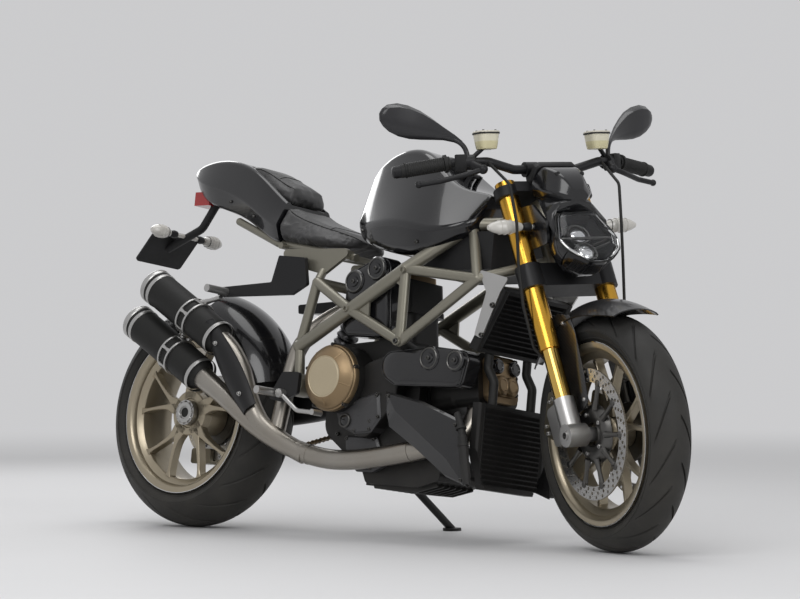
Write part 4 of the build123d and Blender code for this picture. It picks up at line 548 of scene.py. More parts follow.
# Finishes: colour, second colour, metallic, roughness, spread of gloss,
# grain scale, grain depth in mm, coat, dust
FINISHES = {
    "black_paint": ((0.004, 0.004, 0.005), (0.006, 0.006, 0.007), 0.0, 0.16, 0.06, 420, 0.004, 0.7, 0.02),
    "black_gloss": ((0.005, 0.005, 0.006), (0.008, 0.008, 0.009), 0.0, 0.20, 0.08, 420, 0.004, 0.6, 0.04),
    "black_satin": ((0.010, 0.010, 0.011), (0.016, 0.016, 0.017), 0.2, 0.42, 0.12, 900, 0.02, 0.0, 0.08),
    "black_matte": ((0.014, 0.014, 0.015), (0.010, 0.010, 0.010), 0.0, 0.58, 0.14, 1300, 0.05, 0.0, 0.10),
    "frame_paint": ((0.235, 0.222, 0.180), (0.205, 0.194, 0.155), 0.65, 0.40, 0.10, 700, 0.012, 0.25, 0.10),
    "engine_cast": ((0.026, 0.026, 0.026), (0.042, 0.041, 0.040), 0.75, 0.44, 0.16, 620, 0.06, 0.0, 0.12),
    "bronze": ((0.300, 0.212, 0.118), (0.255, 0.182, 0.105), 0.85, 0.40, 0.12, 640, 0.03, 0.0, 0.10),
    "pale_bronze": ((0.540, 0.460, 0.320), (0.490, 0.415, 0.290), 0.70, 0.42, 0.12, 700, 0.02, 0.0, 0.05),
    "case_grey": ((0.070, 0.070, 0.072), (0.055, 0.055, 0.058), 0.5, 0.42, 0.10, 700, 0.03, 0.0, 0.05),
    "cup_white": ((0.680, 0.650, 0.520), (0.640, 0.600, 0.460), 0.0, 0.30, 0.08, 400, 0.006, 0.3, 0.0),
    "wheel_gold": ((0.420, 0.362, 0.262), (0.360, 0.312, 0.228), 0.80, 0.34, 0.10, 700, 0.012, 0.2, 0.25),
    "fork_gold": ((0.640, 0.360, 0.055), (0.580, 0.318, 0.045), 1.0, 0.24, 0.08, 900, 0.004, 0.0, 0.0),
    "stanchion": ((0.700, 0.470, 0.130), (0.660, 0.430, 0.110), 1.0, 0.14, 0.05, 900, 0.002, 0.0, 0.0),
    "silver": ((0.520, 0.515, 0.505), (0.440, 0.435, 0.425), 0.95, 0.34, 0.14, 800, 0.02, 0.0, 0.15),
    "caliper": ((0.230, 0.205, 0.150), (0.190, 0.172, 0.130), 0.85, 0.38, 0.12, 700, 0.02, 0.0, 0.2),
    "muffler_black": ((0.009, 0.009, 0.009), (0.014, 0.014, 0.013), 0.1, 0.56, 0.12, 1500, 0.03, 0.0, 0.05),
    "radiator": ((0.010, 0.010, 0.011), (0.016, 0.016, 0.016), 0.4, 0.52, 0.12, 1200, 0.03, 0.0, 0.12),
    "hose": ((0.009, 0.009, 0.009), (0.015, 0.015, 0.014), 0.0, 0.54, 0.12, 1500, 0.03, 0.0, 0.06),
    "tyre": ((0.012, 0.012, 0.012), (0.020, 0.020, 0.019), 0.0, 0.60, 0.16, 1500, 0.06, 0.0, 0.22),
    "mirror_shell": ((0.030, 0.030, 0.032), (0.024, 0.024, 0.026), 0.3, 0.30, 0.08, 900, 0.008, 0.3, 0.0),
    "reservoir": ((0.640, 0.600, 0.400), (0.560, 0.500, 0.280), 0.0, 0.28, 0.08, 400, 0.006, 0.2, 0.0),
    "cap_cream": ((0.560, 0.530, 0.450), (0.500, 0.470, 0.400), 0.1, 0.38, 0.10, 900, 0.02, 0.0, 0.05),
    "red_lens": ((0.360, 0.012, 0.012), (0.300, 0.008, 0.008), 0.0, 0.16, 0.05, 260, 0.01, 0.6, 0.0),
    "clear_lens": ((0.560, 0.540, 0.500), (0.480, 0.470, 0.440), 0.0, 0.16, 0.06, 260, 0.03, 0.6, 0.0),
    "chrome": ((0.720, 0.720, 0.720), (0.640, 0.640, 0.640), 1.0, 0.08, 0.04, 600, 0.001, 0.0, 0.0),
    "dark_steel": ((0.120, 0.118, 0.114), (0.086, 0.084, 0.080), 0.95, 0.36, 0.14, 900, 0.02, 0.0, 0.15),
    "lamp_dark": ((0.012, 0.012, 0.014), (0.020, 0.020, 0.022), 0.0, 0.40, 0.04, 60, 0.0005, 0.0, 0.0),
    "rear_amber": ((0.560, 0.230, 0.030), (0.500, 0.190, 0.020), 0.0, 0.20, 0.05, 260, 0.02, 0.5, 0.0),
}
MADE = {}


def shader_of(name):
    """New material with its Principled shader and object coordinates."""
    material = bpy.data.materials.new(name)
    material.use_nodes = True
    tree = material.node_tree
    shader = tree.nodes["Principled BSDF"]
    place = tree.nodes.new("ShaderNodeTexCoord").outputs["Object"]
    return material, tree, shader, place


def use(tree, name, vector, **values):
    """Place a shared effect in a material with its own values."""
    node = tree.nodes.new("ShaderNodeGroup")
    node.node_tree = effect(name)
    tree.links.new(vector, node.inputs["Vector"])
    for title, value in values.items():
        socket = node.inputs[title.replace("_", " ").capitalize()]
        if isinstance(value, bpy.types.NodeSocket):
            tree.links.new(value, socket)
        else:
            socket.default_value = value
    return node


def bump(tree, shader, height, depth_mm):
    """Bump node from a height to the shader's normal."""
    node = tree.nodes.new("ShaderNodeBump")
    node.inputs["Strength"].default_value = 0.6
    node.inputs["Distance"].default_value = depth_mm * MM
    tree.links.new(height, node.inputs["Height"])
    tree.links.new(node.outputs["Normal"], shader.inputs["Normal"])


def finish(name):
    """Material of one finish, built when first used."""
    if name in MADE:
        return MADE[name]
    if name in SPECIAL:
        MADE[name] = SPECIAL[name]()
        return MADE[name]
    colour, other, metallic, roughness, spread, scale, depth, coat, dust = FINISHES[name]
    material, tree, shader, place = shader_of(name)
    drift = use(
        tree, "drift", place, colour=(*colour, 1), other_colour=(*other, 1), scale=9.0, roughness=roughness,
        spread=spread)
    tone = drift.outputs["Colour"]
    if dust:
        tone = use(tree, "dust", place, colour=tone, amount=dust, top=0.75).outputs["Colour"]
    tree.links.new(tone, shader.inputs["Base Color"])
    tree.links.new(drift.outputs["Roughness"], shader.inputs["Roughness"])
    shader.inputs["Metallic"].default_value = metallic
    shader.inputs["Coat Weight"].default_value = coat
    shader.inputs["Coat Roughness"].default_value = 0.04
    if max(colour) < 0.05:
        shader.inputs["Specular IOR Level"].default_value = 0.3
    bump(tree, shader, use(tree, "grain", place, scale=float(scale), cells=0.4).outputs["Height"], depth)
    material.diffuse_color = (*colour, 1)
    MADE[name] = material
    return material


def brushed_metal(name, colour, stretch, roughness, tint=None, tint_scale=3.0):
    """Metal with fine lines, and a heat tint where one is given."""
    material, tree, shader, place = shader_of(name)
    lines = use(tree, "brushed", place, stretch=stretch, roughness=roughness, spread=0.22)
    drift = use(
        tree, "drift", place, colour=(*colour, 1), other_colour=(*(tint or colour), 1), scale=tint_scale,
        roughness=roughness)
    dusty = use(tree, "dust", place, colour=drift.outputs["Colour"], amount=0.25, top=0.6)
    tree.links.new(dusty.outputs["Colour"], shader.inputs["Base Color"])
    tree.links.new(lines.outputs["Roughness"], shader.inputs["Roughness"])
    shader.inputs["Metallic"].default_value = 1.0
    bump(tree, shader, lines.outputs["Height"], 0.01)
    material.diffuse_color = (*colour, 1)
    return material


def carbon():
    """Clear-coated carbon twill of the front mudguard."""
    material, tree, shader, place = shader_of("carbon")
    weave = use(tree, "weave", place, scale=210.0)
    tone = mix_colour(tree, weave.outputs["Mask"], (0.005, 0.005, 0.006, 1), (0.018, 0.018, 0.019, 1))
    dusty = use(tree, "dust", place, colour=tone, amount=0.08, top=0.7)
    tree.links.new(dusty.outputs["Colour"], shader.inputs["Base Color"])
    shader.inputs["Roughness"].default_value = 0.36
    shader.inputs["Metallic"].default_value = 0.2
    shader.inputs["Coat Weight"].default_value = 0.5
    shader.inputs["Coat Roughness"].default_value = 0.05
    bump(tree, shader, weave.outputs["Height"], 0.05)
    return material


def seat_leather():
    """Black seat cover with leather grain and a soft sheen."""
    material, tree, shader, place = shader_of("seat_cover")
    colours = {"colour": (0.020, 0.020, 0.021, 1), "other_colour": (0.032, 0.031, 0.031, 1)}
    drift = use(tree, "drift", place, scale=16.0, roughness=0.44, spread=0.16, **colours)
    tree.links.new(drift.outputs["Colour"], shader.inputs["Base Color"])
    tree.links.new(drift.outputs["Roughness"], shader.inputs["Roughness"])
    shader.inputs["Sheen Weight"].default_value = 0.15
    bump(tree, shader, use(tree, "grain", place, scale=520.0, cells=1.6).outputs["Height"], 0.22)
    return material


def glass(name, colour, roughness=0.03):
    """Clear moulded lens."""
    material, tree, shader, place = shader_of(name)
    drift = use(
        tree, "drift", place, colour=(*colour, 1), other_colour=(*[0.96 * c for c in colour], 1), scale=20.0,
        roughness=roughness, spread=0.02)
    tree.links.new(drift.outputs["Colour"], shader.inputs["Base Color"])
    tree.links.new(drift.outputs["Roughness"], shader.inputs["Roughness"])
    shader.inputs["Transmission Weight"].default_value = 1.0
    shader.inputs["IOR"].default_value = 1.25
    return material


SPECIAL = {
    "bare_steel": lambda: brushed_metal(
        "bare_steel", (0.40, 0.385, 0.36), (60, 700, 700), 0.32, (0.29, 0.26, 0.215), 5.0),
    "disc": lambda: brushed_metal("disc", (0.47, 0.465, 0.455), (300, 20, 300), 0.30),
    "chain_steel": lambda: brushed_metal(
        "chain_steel", (0.20, 0.185, 0.160), (300, 300, 300), 0.42, (0.13, 0.12, 0.10)),
    "spring_steel": lambda: brushed_metal("spring_steel", (0.16, 0.16, 0.165), (200, 200, 200), 0.36),
    "mirror_glass": lambda: brushed_metal("mirror_glass", (0.82, 0.83, 0.84), (3, 3, 3), 0.04),
    "carbon": carbon, "seat_cover": seat_leather,
    "lamp_glass": lambda: glass("lamp_glass", (0.94, 0.95, 0.96)),
}


# Sizes and colours that a user would change
class TyreSettings(bpy.types.PropertyGroup):
    """Tread of both tyres."""
    repeats: IntProperty(
        name="Tread repeats", description="Groove pairs round each tyre", default=16, min=6, max=40)
    depth: FloatProperty(
        name="Groove depth", description="Depth of the tread grooves", default=0.0045, min=0.0, max=0.008,
        unit="LENGTH")
    groove: FloatProperty(
        name="Groove width", description="Width of a groove as a share of its repeat", default=0.13, min=0.02,
        max=0.4)


class SeatSettings(bpy.types.PropertyGroup):
    """Padding of the rider's seat and the pillion pad."""
    voxel: FloatProperty(
        name="Voxel", description="Mesh size of the padding", default=0.005, min=0.003, max=0.02,
        unit="LENGTH")
    swell: FloatProperty(
        name="Swell", description="Farthest that the cover may swell", default=0.007, min=0.0, max=0.02,
        unit="LENGTH")
    pressure: FloatProperty(
        name="Pressure", description="Pressure of the padding", default=4.0, min=0.0, max=20.0)


class BrakeSettings(bpy.types.PropertyGroup):
    """Drilling of the brake rings."""
    hole: FloatProperty(
        name="Hole radius", description="Radius of the drilled holes", default=0.0043, min=0.001, max=0.008,
        unit="LENGTH")
    rows: IntProperty(
        name="Hole groups", description="Groups of holes round a ring", default=34, min=6, max=48)


class ChainSettings(bpy.types.PropertyGroup):
    """Links of the drive chain."""
    pitch: FloatProperty(
        name="Pitch", description="Distance between the rollers", default=0.015875, min=0.01, max=0.03,
        unit="LENGTH")


class CoolerSettings(bpy.types.PropertyGroup):
    """Fins of both coolers."""
    spacing: FloatProperty(
        name="Fin spacing", description="Distance between the upright fins", default=0.0055, min=0.003,
        max=0.02, unit="LENGTH")
    tubes: FloatProperty(
        name="Tube spacing", description="Distance between the level tubes", default=0.013, min=0.006,
        max=0.04, unit="LENGTH")


class StageSettings(bpy.types.PropertyGroup):
    """Floor, light and camera."""
    floor: FloatVectorProperty(
        name="Floor colour", description="Colour of the floor", subtype="COLOR", size=3,
        default=(0.66, 0.66, 0.67), min=0, max=1)
    backdrop: FloatVectorProperty(
        name="Backdrop", description="Colour of the background", subtype="COLOR", size=3,
        default=(0.60, 0.60, 0.61), min=0, max=1)
    world: FloatProperty(
        name="World light", description="Strength of the even light from all round", default=0.5, min=0.0)
    light: FloatProperty(
        name="Key light", description="Power of the large key lamp", default=62.0, min=0.0, unit="POWER")
    lens: FloatProperty(
        name="Lens", description="Focal length for a 36 mm sensor", default=117.9, min=20.0, max=400.0)


def settings(context, name):
    """Settings of one step."""
    return getattr(context.scene, "motorcycle_" + name)


# Tyres and wheels: radius of the tyre, width of the tyre, width of the rim
FRONT_TYRE = (0.2999, 0.120, 0.089)
REAR_TYRE = (0.3204, 0.190, 0.152)


def tyre_rows(radius, width, rim_width):
    """Cross-section of a tyre: distance across, radius, place across the tread from -1 to 1 or None."""
    crown, shoulder_y = 0.53 * width, 0.47 * width
    shoulder_r = radius - crown + math.sqrt(crown**2 - shoulder_y**2)
    bead, lip = 0.2182, 0.2349
    edge = rim_width / 2 - 0.0003
    rows = []
    steep = math.asin(shoulder_y / crown)
    pull = shoulder_r + 0.2 * (lip - shoulder_r)
    wall = []
    for k in range(1, 9):
        t = k / 8
        y = (1 - t) ** 2 * shoulder_y + 2 * t * (1 - t) * (width / 2 + 0.004) + t * t * edge
        r = (1 - t) ** 2 * shoulder_r + 2 * t * (1 - t) * pull + t * t * lip
        wall.append((y, r))
    for y, r in [(edge - 0.011, bead), (edge, bead), *reversed(wall)]:
        rows.append((-y, r, None))
    for k in range(41):
        a = steep * (k / 20 - 1)
        rows.append((crown * math.sin(a), radius - crown + crown * math.cos(a), k / 20 - 1))
    for y, r in [*wall, (edge, bead), (edge - 0.011, bead)]:
        rows.append((y, r, None))
    return rows


def dressed_tyre(name, node, body, axle, radius, width, rim_width, tread):
    """Tyre with curved grooves cut from the crown to the shoulders."""
    rows = tyre_rows(radius, width, rim_width)
    turn = math.tau / tread.repeats
    g = tread.groove
    stations = [(0.0, 0, 0), (0.18 * g, 1, 0), (0.82 * g, 1, 0), (g, 0, 0), (0.27, 0, 0), (0.40, 0, 0)]
    stations += [
        (0.5, 0, 0), (0.5 + 0.18 * g, 0, 1), (0.5 + 0.82 * g, 0, 1), (0.5 + g, 0, 0), (0.77, 0, 0),
        (0.9, 0, 0)]
    shape = Shape()
    columns = []
    for repeat in range(tread.repeats):
        for share, on_right, on_left in stations:
            column = []
            for y, r, across in rows:
                sweep = 0.0
                depth = 0.0
                if across is not None:
                    reach = abs(across)
                    sweep = 1.25 * turn * reach**1.35
                    cut = on_right if across < 0 else on_left
                    depth = tread.depth * cut * min(
                        1.0, max(0.0, min((reach - 0.10) / 0.08, (0.93 - reach) / 0.06)))
                else:
                    sweep = 1.25 * turn
                a = (repeat + share) * turn + sweep
                out = Vector((math.sin(a), 0, math.cos(a)))
                column.append(axle + ACROSS * y + out * (r - depth))
            columns.append(column)
    shape.grid(columns, wrap_rows=True, wrap_columns=True)
    for side in (-1, 1):
        for y, r, _ in (rows[-4], rows[-8]):
            ring = [
                axle + ACROSS * side * (y + 0.0002) + Vector((
                    math.sin(k * math.pi / 60), 0, math.cos(k * math.pi / 60))) * r
                for k in range(120)]
            shape.tube(ring, 0.0016, 6, closed=True)
    tyre = shape.make(name, body, "tyre", ["tyre"], 32)
    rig.replaces(tyre, node)
    return tyre


class MOTO_OT_tyres(bpy.types.Operator):
    """Road tyres with grooved tread and moulded wall rings"""
    bl_idname = "moto.tyres"
    bl_label = "Tyres"

    def execute(self, context):
        tread = settings(context, "tyres")
        dressed_tyre("front_tyre_tread", "front_tyre", "front_wheel", FRONT_AXLE, *FRONT_TYRE, tread)
        dressed_tyre("rear_tyre_tread", "rear_tyre", "rear_wheel", REAR_AXLE, *REAR_TYRE, tread)
        return {"FINISHED"}


# Cast wheels
# Blade of a forked arm: distance from the axle and width in millimetres,
# turn away from the arm's middle in degrees
BLADE = [
    (44, 34, 9.0), (66, 30, 7.0), (84, 21, 7.2), (98, 15, 8.6), (116, 12, 10.6), (146, 10, 13.6),
    (172, 10, 15.8), (186, 13, 16.8), (194, 22, 17.2),
]
REAR_HUB = [
    (25.3, -56), (40, -56), (43, -60), (62, -60), (65, -57), (64, -30), (55, -20), (55, 42), (53, 44),
    (25.3, 44),
]
FRONT_HUB = [
    (12.6, -46), (34, -46), (36, -44), (37, -20), (42, -13), (42, 13), (37, 20), (36, 44), (34, 46),
    (12.6, 46),
]


def rim_profile(width):
    """Section of a rim with a drop centre and rounded flanges: radius and distance across."""
    half = width / 2
    bead, flange, well, wall = 0.2179, 0.2319, 0.1979, 0.009
    right = [(well, 0.34 * width), (bead - 0.002, 0.42 * width), (bead, half), (flange - 0.001, half)]
    right += [(flange, half + 0.0015), (flange, half + 0.0075), (flange - 0.0015, half + wall)]
    right += [(bead + 0.001, half + wall), (bead - 0.002, half + 0.0075), (bead - wall, half)]
    right += [
        (bead - wall - 0.002, 0.44 * width), (well - wall + 0.002, 0.37 * width), (well - wall, 0.35 * width)]
    rows = right + [(r, -y) for r, y in reversed(right)]
    return rows + rows[:1]


def blade_ring(axle, turn, side, row, face, depth):
    """Section of one blade, narrower at its back."""
    reach, wide, spread = row
    a = turn + side * math.radians(spread)
    away = spoke(a)
    across = Vector((-math.sin(a), 0, math.cos(a)))
    half, back, soft = wide / 2, 0.36 * wide, 1.6
    corners = [(-half + soft, 0), (half - soft, 0), (half, soft), (back, depth - soft), (back - soft, depth)]
    corners += [(soft - back, depth), (-back, depth - soft), (-half, soft)]
    return [axle + (away * reach + across * w + ACROSS * (face + d)) * MM for w, d in corners]


def cast_wheel(name, node, body, axle, width, hub, face, depth):
    """Wheel with five forked arms in place of its solid."""
    shape = Shape()
    shape.lathe(rim_profile(width), axle, ACROSS, 120)
    shape.lathe(in_mm(hub + hub[:1]), axle, ACROSS, 64)
    for arm in range(5):
        turn = math.pi / 2 + math.tau * arm / 5
        for side in (-1, 1):
            rows = [blade_ring(axle, turn, side, row, face, depth) for row in BLADE]
            shape.grid(rows, wrap_columns=True)
            shape.cap(rows[0], flip=True)
            shape.cap(rows[-1])
    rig.replaces(shape.make(name, body, "wheel_gold", ["wheel_gold"], 35), node)


class MOTO_OT_wheels(bpy.types.Operator):
    """Cast wheels with five forked arms"""
    bl_idname = "moto.wheels"
    bl_label = "Wheels"

    def execute(self, context):
        cast_wheel(
            "front_cast_wheel", "front_rim", "front_wheel", FRONT_AXLE, FRONT_TYRE[2], FRONT_HUB, -13, 26)
        cast_wheel("rear_cast_wheel", "rear_rim", "rear_wheel", REAR_AXLE, REAR_TYRE[2], REAR_HUB, -60, 30)
        return {"FINISHED"}


# Brake rings
def drilled_plate(name, loops, thick):
    """Mesh of a flat plate whose loops of points bound it and its holes, in X and Z about the origin."""
    curve = bpy.data.curves.new(name, "CURVE")
    curve.dimensions = "2D"
    curve.fill_mode = "BOTH"
    curve.extrude = thick / 2
    for loop in loops:
        line = curve.splines.new("POLY")
        line.points.add(len(loop) - 1)
        line.use_cyclic_u = True
        for point, (x, z) in zip(line.points, loop):
            point.co = (x, z, 0, 1)
    holder = bpy.data.objects.new(name, curve)
    bpy.context.scene.collection.objects.link(holder)
    mesh = bpy.data.meshes.new_from_object(holder.evaluated_get(bpy.context.evaluated_depsgraph_get()))
    bpy.data.objects.remove(holder)
    bpy.data.curves.remove(curve)
    mesh.transform(Matrix.Rotation(math.radians(90), 4, "X"))
    return mesh


def circle(radius, steps=48, x=0.0, z=0.0):
    """Loop of points round a circle."""
    return [
        (x + radius * math.cos(math.tau * k / steps), z + radius * math.sin(math.tau * k / steps))
        for k in range(steps)]


def ring_with_holes(radius, band, hole, groups):
    """Loops of a brake ring: rims and slanting groups of three holes."""
    loops = [circle(radius, 120), circle(radius - band, 96)]
    for group in range(groups):
        for k, share in enumerate((0.2, 0.5, 0.8)):
            a = math.tau * (group + k / 3) / groups
            r = radius - band * share
            loops.append(circle(hole, 12, r * math.cos(a), r * math.sin(a)))
    return loops


class MOTO_OT_brakes(bpy.types.Operator):
    """Drilled brake rings, their carriers with bobbins, caliper hardware and hose ends"""
    bl_idname = "moto.brakes"
    bl_label = "Brakes"

    def execute(self, context):
        brakes = settings(context, "brakes")
        front = Shape()
        for side in (-1, 1):
            mesh = drilled_plate("front_ring", ring_with_holes(0.165, 0.034, brakes.hole, brakes.rows), 0.005)
            mesh.transform(place_of("front_wheel") @ Matrix.Translation(FRONT_AXLE + ACROSS * side * 0.064))
            label = "left" if side > 0 else "right"
            add_piece("front_brake_ring_" + label, mesh, "front_wheel", "disc", ["disc"], 30)
            out = ACROSS * side
            hub = FRONT_AXLE + out * 0.0463
            front.lathe(
                in_mm([(30, 0), (74, 0), (76, 4), (70, 14), (60, 19.5), (34, 19.5), (30, 17), (30, 0)]), hub,
                out, 48)
            base = FRONT_AXLE + out * 0.0635
            for away in spokes(10):
                front.tube(
                    [base + away * 0.066, base + away * 0.098, base + away * 0.129], [0.009, 0.0055, 0.0072],
                    8)
                front.disc(base + away * 0.1335 - out * 0.004, out, 0.0088, 0.0095, 14)
            for away in spokes(5, 0.5):
                front.bolt(hub + out * 0.0185 + away * 0.050, out, 0.0055, 0.006, 1)
        carriers = front.make("front_brake_carriers", "front_wheel", "disc", ["dark_steel", "silver"])
        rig.replaces(carriers, "front_discs")
        mesh = drilled_plate("rear_ring", ring_with_holes(0.1225, 0.042, brakes.hole, 14), 0.005)
        mesh.transform(place_of("rear_wheel") @ Matrix.Translation(REAR_AXLE + ACROSS * 0.058))
        add_piece("rear_brake_ring", mesh, "rear_wheel", "disc", ["disc"], 30)
        rear = Shape()
        rear.lathe(
            in_mm([(25.4, 0), (83, 0), (84, 6), (78, 16), (40, 15.8), (25.4, 15.8), (25.4, 0)]),
            REAR_AXLE + ACROSS * 0.0443, ACROSS, 48)
        for away in spokes(8):
            rear.bolt(REAR_AXLE + ACROSS * 0.0598 + away * 0.066, ACROSS, 0.005, 0.005)
        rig.replaces(rear.make("rear_brake_carrier", "rear_wheel", "disc", ["dark_steel"]), "rear_disc")
        caliper_hardware()
        return {"FINISHED"}


def caliper_hardware():
    """Bolts, piston caps, bridge pins and hose ends on the front calipers."""
    bits = Shape()
    turn = math.radians(162.0)
    ahead = Vector((math.cos(turn), 0, math.sin(turn)))
    along = Vector((-math.sin(turn), 0, math.cos(turn)))
    for side in (-1, 1):
        out = ACROSS * side
        face = FRONT_AXLE + ahead * 0.149 + out * 0.0917
        for place in (-0.033, 0.033):
            for depth in (-0.012, 0.016):
                spot = face + along * place + ahead * depth
                if depth < 0:
                    bits.disc(spot - out * 0.003, out, 0.0125, 0.006, 20, 0)
                else:
                    bits.bolt(spot, out, 0.0048, 0.006, 1)
        for place in (-0.046, 0.046):
            bits.bolt(face + along * place, out, 0.0055, 0.008, 1)
        bits.bolt(
            FRONT_AXLE + ahead * 0.180 - out * 0.004 + out * 0.075 - along * 0.02, ahead, 0.006, 0.012, 1)
    bits.make("caliper_hardware", "front_end", "caliper", ["dark_steel", "silver"])


# Drive chain
def chain_places(pitch):
    """Pins of the chain round both sprockets, in X and Z."""
    front, small = Vector((-0.118, 0.396)), 0.0452
    rear, large = Vector((REAR_AXLE.x, REAR_AXLE.z)), 0.1232
    gap = front - rear
    tilt = math.acos((large - small) / gap.length)
    base = math.atan2(gap.y, gap.x)
    line = []
    for k in range(121):
        a = base + tilt + (math.tau - 2 * tilt) * k / 120
        line.append(rear + Vector((math.cos(a), math.sin(a))) * large)
    for k in range(61):
        a = base - tilt + 2 * tilt * k / 60
        line.append(front + Vector((math.cos(a), math.sin(a))) * small)
    line.append(line[0])
    lengths = [(b - a).length for a, b in zip(line, line[1:])]
    count = 2 * round(sum(lengths) / pitch / 2)
    places = []
    step = sum(lengths) / count
    at, k, gone = 0.0, 0, 0.0
    for _ in range(count):
        while gone + lengths[k] < at:
            gone += lengths[k]
            k += 1
        places.append(line[k].lerp(line[k + 1], (at - gone) / lengths[k]))
        at += step
    return places


class MOTO_OT_drive_chain(bpy.types.Operator):
    """Drive chain of waisted link plates, pins and rollers, and the rear sprocket's nuts"""
    bl_idname = "moto.drive_chain"
    bl_label = "Drive chain"

    def execute(self, context):
        places = chain_places(settings(context, "chain").pitch)
        links = Shape()
        for k, place in enumerate(places):
            after = places[(k + 1) % len(places)]
            run = (after - place).normalized()
            u = Vector((run.x, 0, run.y))
            v = Vector((-run.y, 0, run.x))
            length = (after - place).length
            outline = []
            for end, start in ((length, -75), (0.0, 105)):
                for s in range(6):
                    a = math.radians(start + 30 * s)
                    outline.append((end + 0.0064 * math.cos(a), 0.0064 * math.sin(a)))
                outline.append((length / 2, 0.0042 if end else -0.0042))
            low = 0.0052 if k % 2 else 0.0030
            base = Vector((place.x, 0.164, place.y))
            for side in (-1, 1):
                origin = base + ACROSS * (side * low if side > 0 else side * (low + 0.0020))
                links.plate(outline, origin + ACROSS * 0.0020, u, v, 0.0020, k % 2, 0.0003)
            links.lathe(
                in_mm([
                    (0, -7.8), (2.4, -7.8), (2.4, -3.1), (5, -3), (5, 3), (2.4, 3.1), (2.4, 7.8), (0, 7.8)]),
                base, ACROSS, 10)
        chain = links.make("drive_chain_links", "chassis", "chain_steel", ["chain_steel", "bronze"], 35)
        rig.replaces(chain, "chain")
        nuts = Shape()
        for away in spokes(5):
            nuts.bolt(REAR_AXLE + ACROSS * 0.1675 + away * 0.062, ACROSS, 0.008, 0.009)
        nuts.lathe(in_mm([(25.5, 0), (46, 0), (44, 10), (25.5, 12)]), REAR_AXLE + ACROSS * 0.1677, ACROSS, 6)
        nuts.make("sprocket_nuts", "rear_wheel", "silver", ["silver"])
        return {"FINISHED"}


# Seat
def swollen_pad(name, node, pads, slot):
    """Pad made from its solid: remeshed, inflated as cloth and capped in how far it moves."""
    source = frame["nodes"][node]
    mesh = source.data.copy()
    pad = bpy.data.objects.new(name, mesh)
    bpy.context.scene.collection.objects.link(pad)
    mesh.materials.clear()
    work = bmesh.new()
    work.from_mesh(mesh)
    bmesh.ops.remove_doubles(work, verts=work.verts, dist=1e-5)
    work.normal_update()
    for vert in work.verts:
        vert.co -= vert.normal * 0.45 * pads.swell
    work.to_mesh(mesh)
    work.free()
    remesh = pad.modifiers.new("Remesh", "REMESH")
    remesh.mode = "VOXEL"
    remesh.voxel_size = pads.voxel
    apply_modifiers(pad)
    smooth = pad.modifiers.new("Smooth", "SMOOTH")
    smooth.factor = 0.5
    smooth.iterations = 6
    apply_modifiers(pad)
    before = [v.co.copy() for v in pad.data.vertices]
    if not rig.quick():
        cloth = pad.modifiers.new("Cloth", "CLOTH")
        cloth.settings.use_pressure = True
        cloth.settings.uniform_pressure_force = pads.pressure
        cloth.settings.effector_weights.gravity = 0
        cloth.settings.quality = 4
        for number in range(1, 21):
            bpy.context.scene.frame_set(number)
        apply_modifiers(pad)
        bpy.context.scene.frame_set(1)
        for vert, was in zip(pad.data.vertices, before):
            move = vert.co - was
            if move.length > pads.swell:
                vert.co = was + move.normalized() * pads.swell
    pad.data.materials.append(finish("seat_cover"))
    pad.modifiers.new("Subdivision", "SUBSURF").levels = 1
    apply_modifiers(pad)
    pad.data.polygons.foreach_set("use_smooth", [True] * len(pad.data.polygons))
    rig.ride(pad, "chassis")
    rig.replaces(pad, node)
    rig.slot(pad, slot)
    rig.padded(pad, 0.8)
    return pad


def apply_modifiers(piece):
    """Replace a piece's mesh by its evaluated one and drop its modifiers."""
    graph = bpy.context.evaluated_depsgraph_get()
    graph.update()
    mesh = bpy.data.meshes.new_from_object(piece.evaluated_get(graph))
    old = piece.data
    piece.modifiers.clear()
    piece.data = mesh
    bpy.data.meshes.remove(old)


def seam(shape, pad, points, radius, lift=0.0004):
    """Stitched piping laid on a pad along points of the upright machine."""
    tree = BVHTree.FromPolygons(
        [v.co.copy() for v in pad.data.vertices], [list(p.vertices) for p in pad.data.polygons])
    there = place_of("chassis")
    back = there.inverted()
    line = []
    for point in arc(points, 10):
        spot, normal, _, _ = tree.find_nearest(there @ point)
        line.append(back @ (spot + normal * lift))
    shape.tube(line, radius, 6)


class MOTO_OT_seat(bpy.types.Operator):
    """Rider's seat and pillion pad as padded pieces with sewn seams"""
    bl_idname = "moto.seat"
    bl_label = "Seat"

    def execute(self, context):
        pads = settings(context, "seat")
        rider = swollen_pad("rider_seat_cover", "rider_seat", pads, "seat_cover")
        pillion = swollen_pad("pillion_pad_cover", "pillion_pad", pads, "seat_cover")
        seams = Shape()
        for side in (-1, 1):
            rows = [(-146, 38, 806), (-200, 82, 828), (-300, 94, 858), (-392, 90, 902)]
            seam(seams, rider, [mm(x, side * y, z) for x, y, z in rows], 0.0016)
            rows = [(-404, 58, 960), (-500, 56, 1008), (-580, 50, 1030), (-626, 36, 1022)]
            seam(seams, pillion, [mm(x, side * y, z) for x, y, z in rows], 0.0014)
        seam(seams, rider, [mm(-230, -80, 834), mm(-230, 0, 838), mm(-230, 80, 834)], 0.0012)
        seam(seams, pillion, [mm(-470, -52, 1000), mm(-470, 0, 1002), mm(-470, 52, 1000)], 0.0012)
        seams.make("seat_seams", "chassis", "seat_cover", ["hose"])
        return {"FINISHED"}


# Placing hardware on the solids
SKINS = {}


def body_of(node):
    """Body that carries a node."""
    return next(body for body, names in frame["record"]["behaviour"]["bodies"].items() if node in names)


def skin(node):
    """Search tree of a node's surface on the upright machine."""
    if node not in SKINS:
        back = place_of(body_of(node)).inverted()
        mesh = frame["nodes"][node].data
        SKINS[node] = BVHTree.FromPolygons(
            [back @ v.co for v in mesh.vertices], [list(p.vertices) for p in mesh.polygons])
    return SKINS[node]


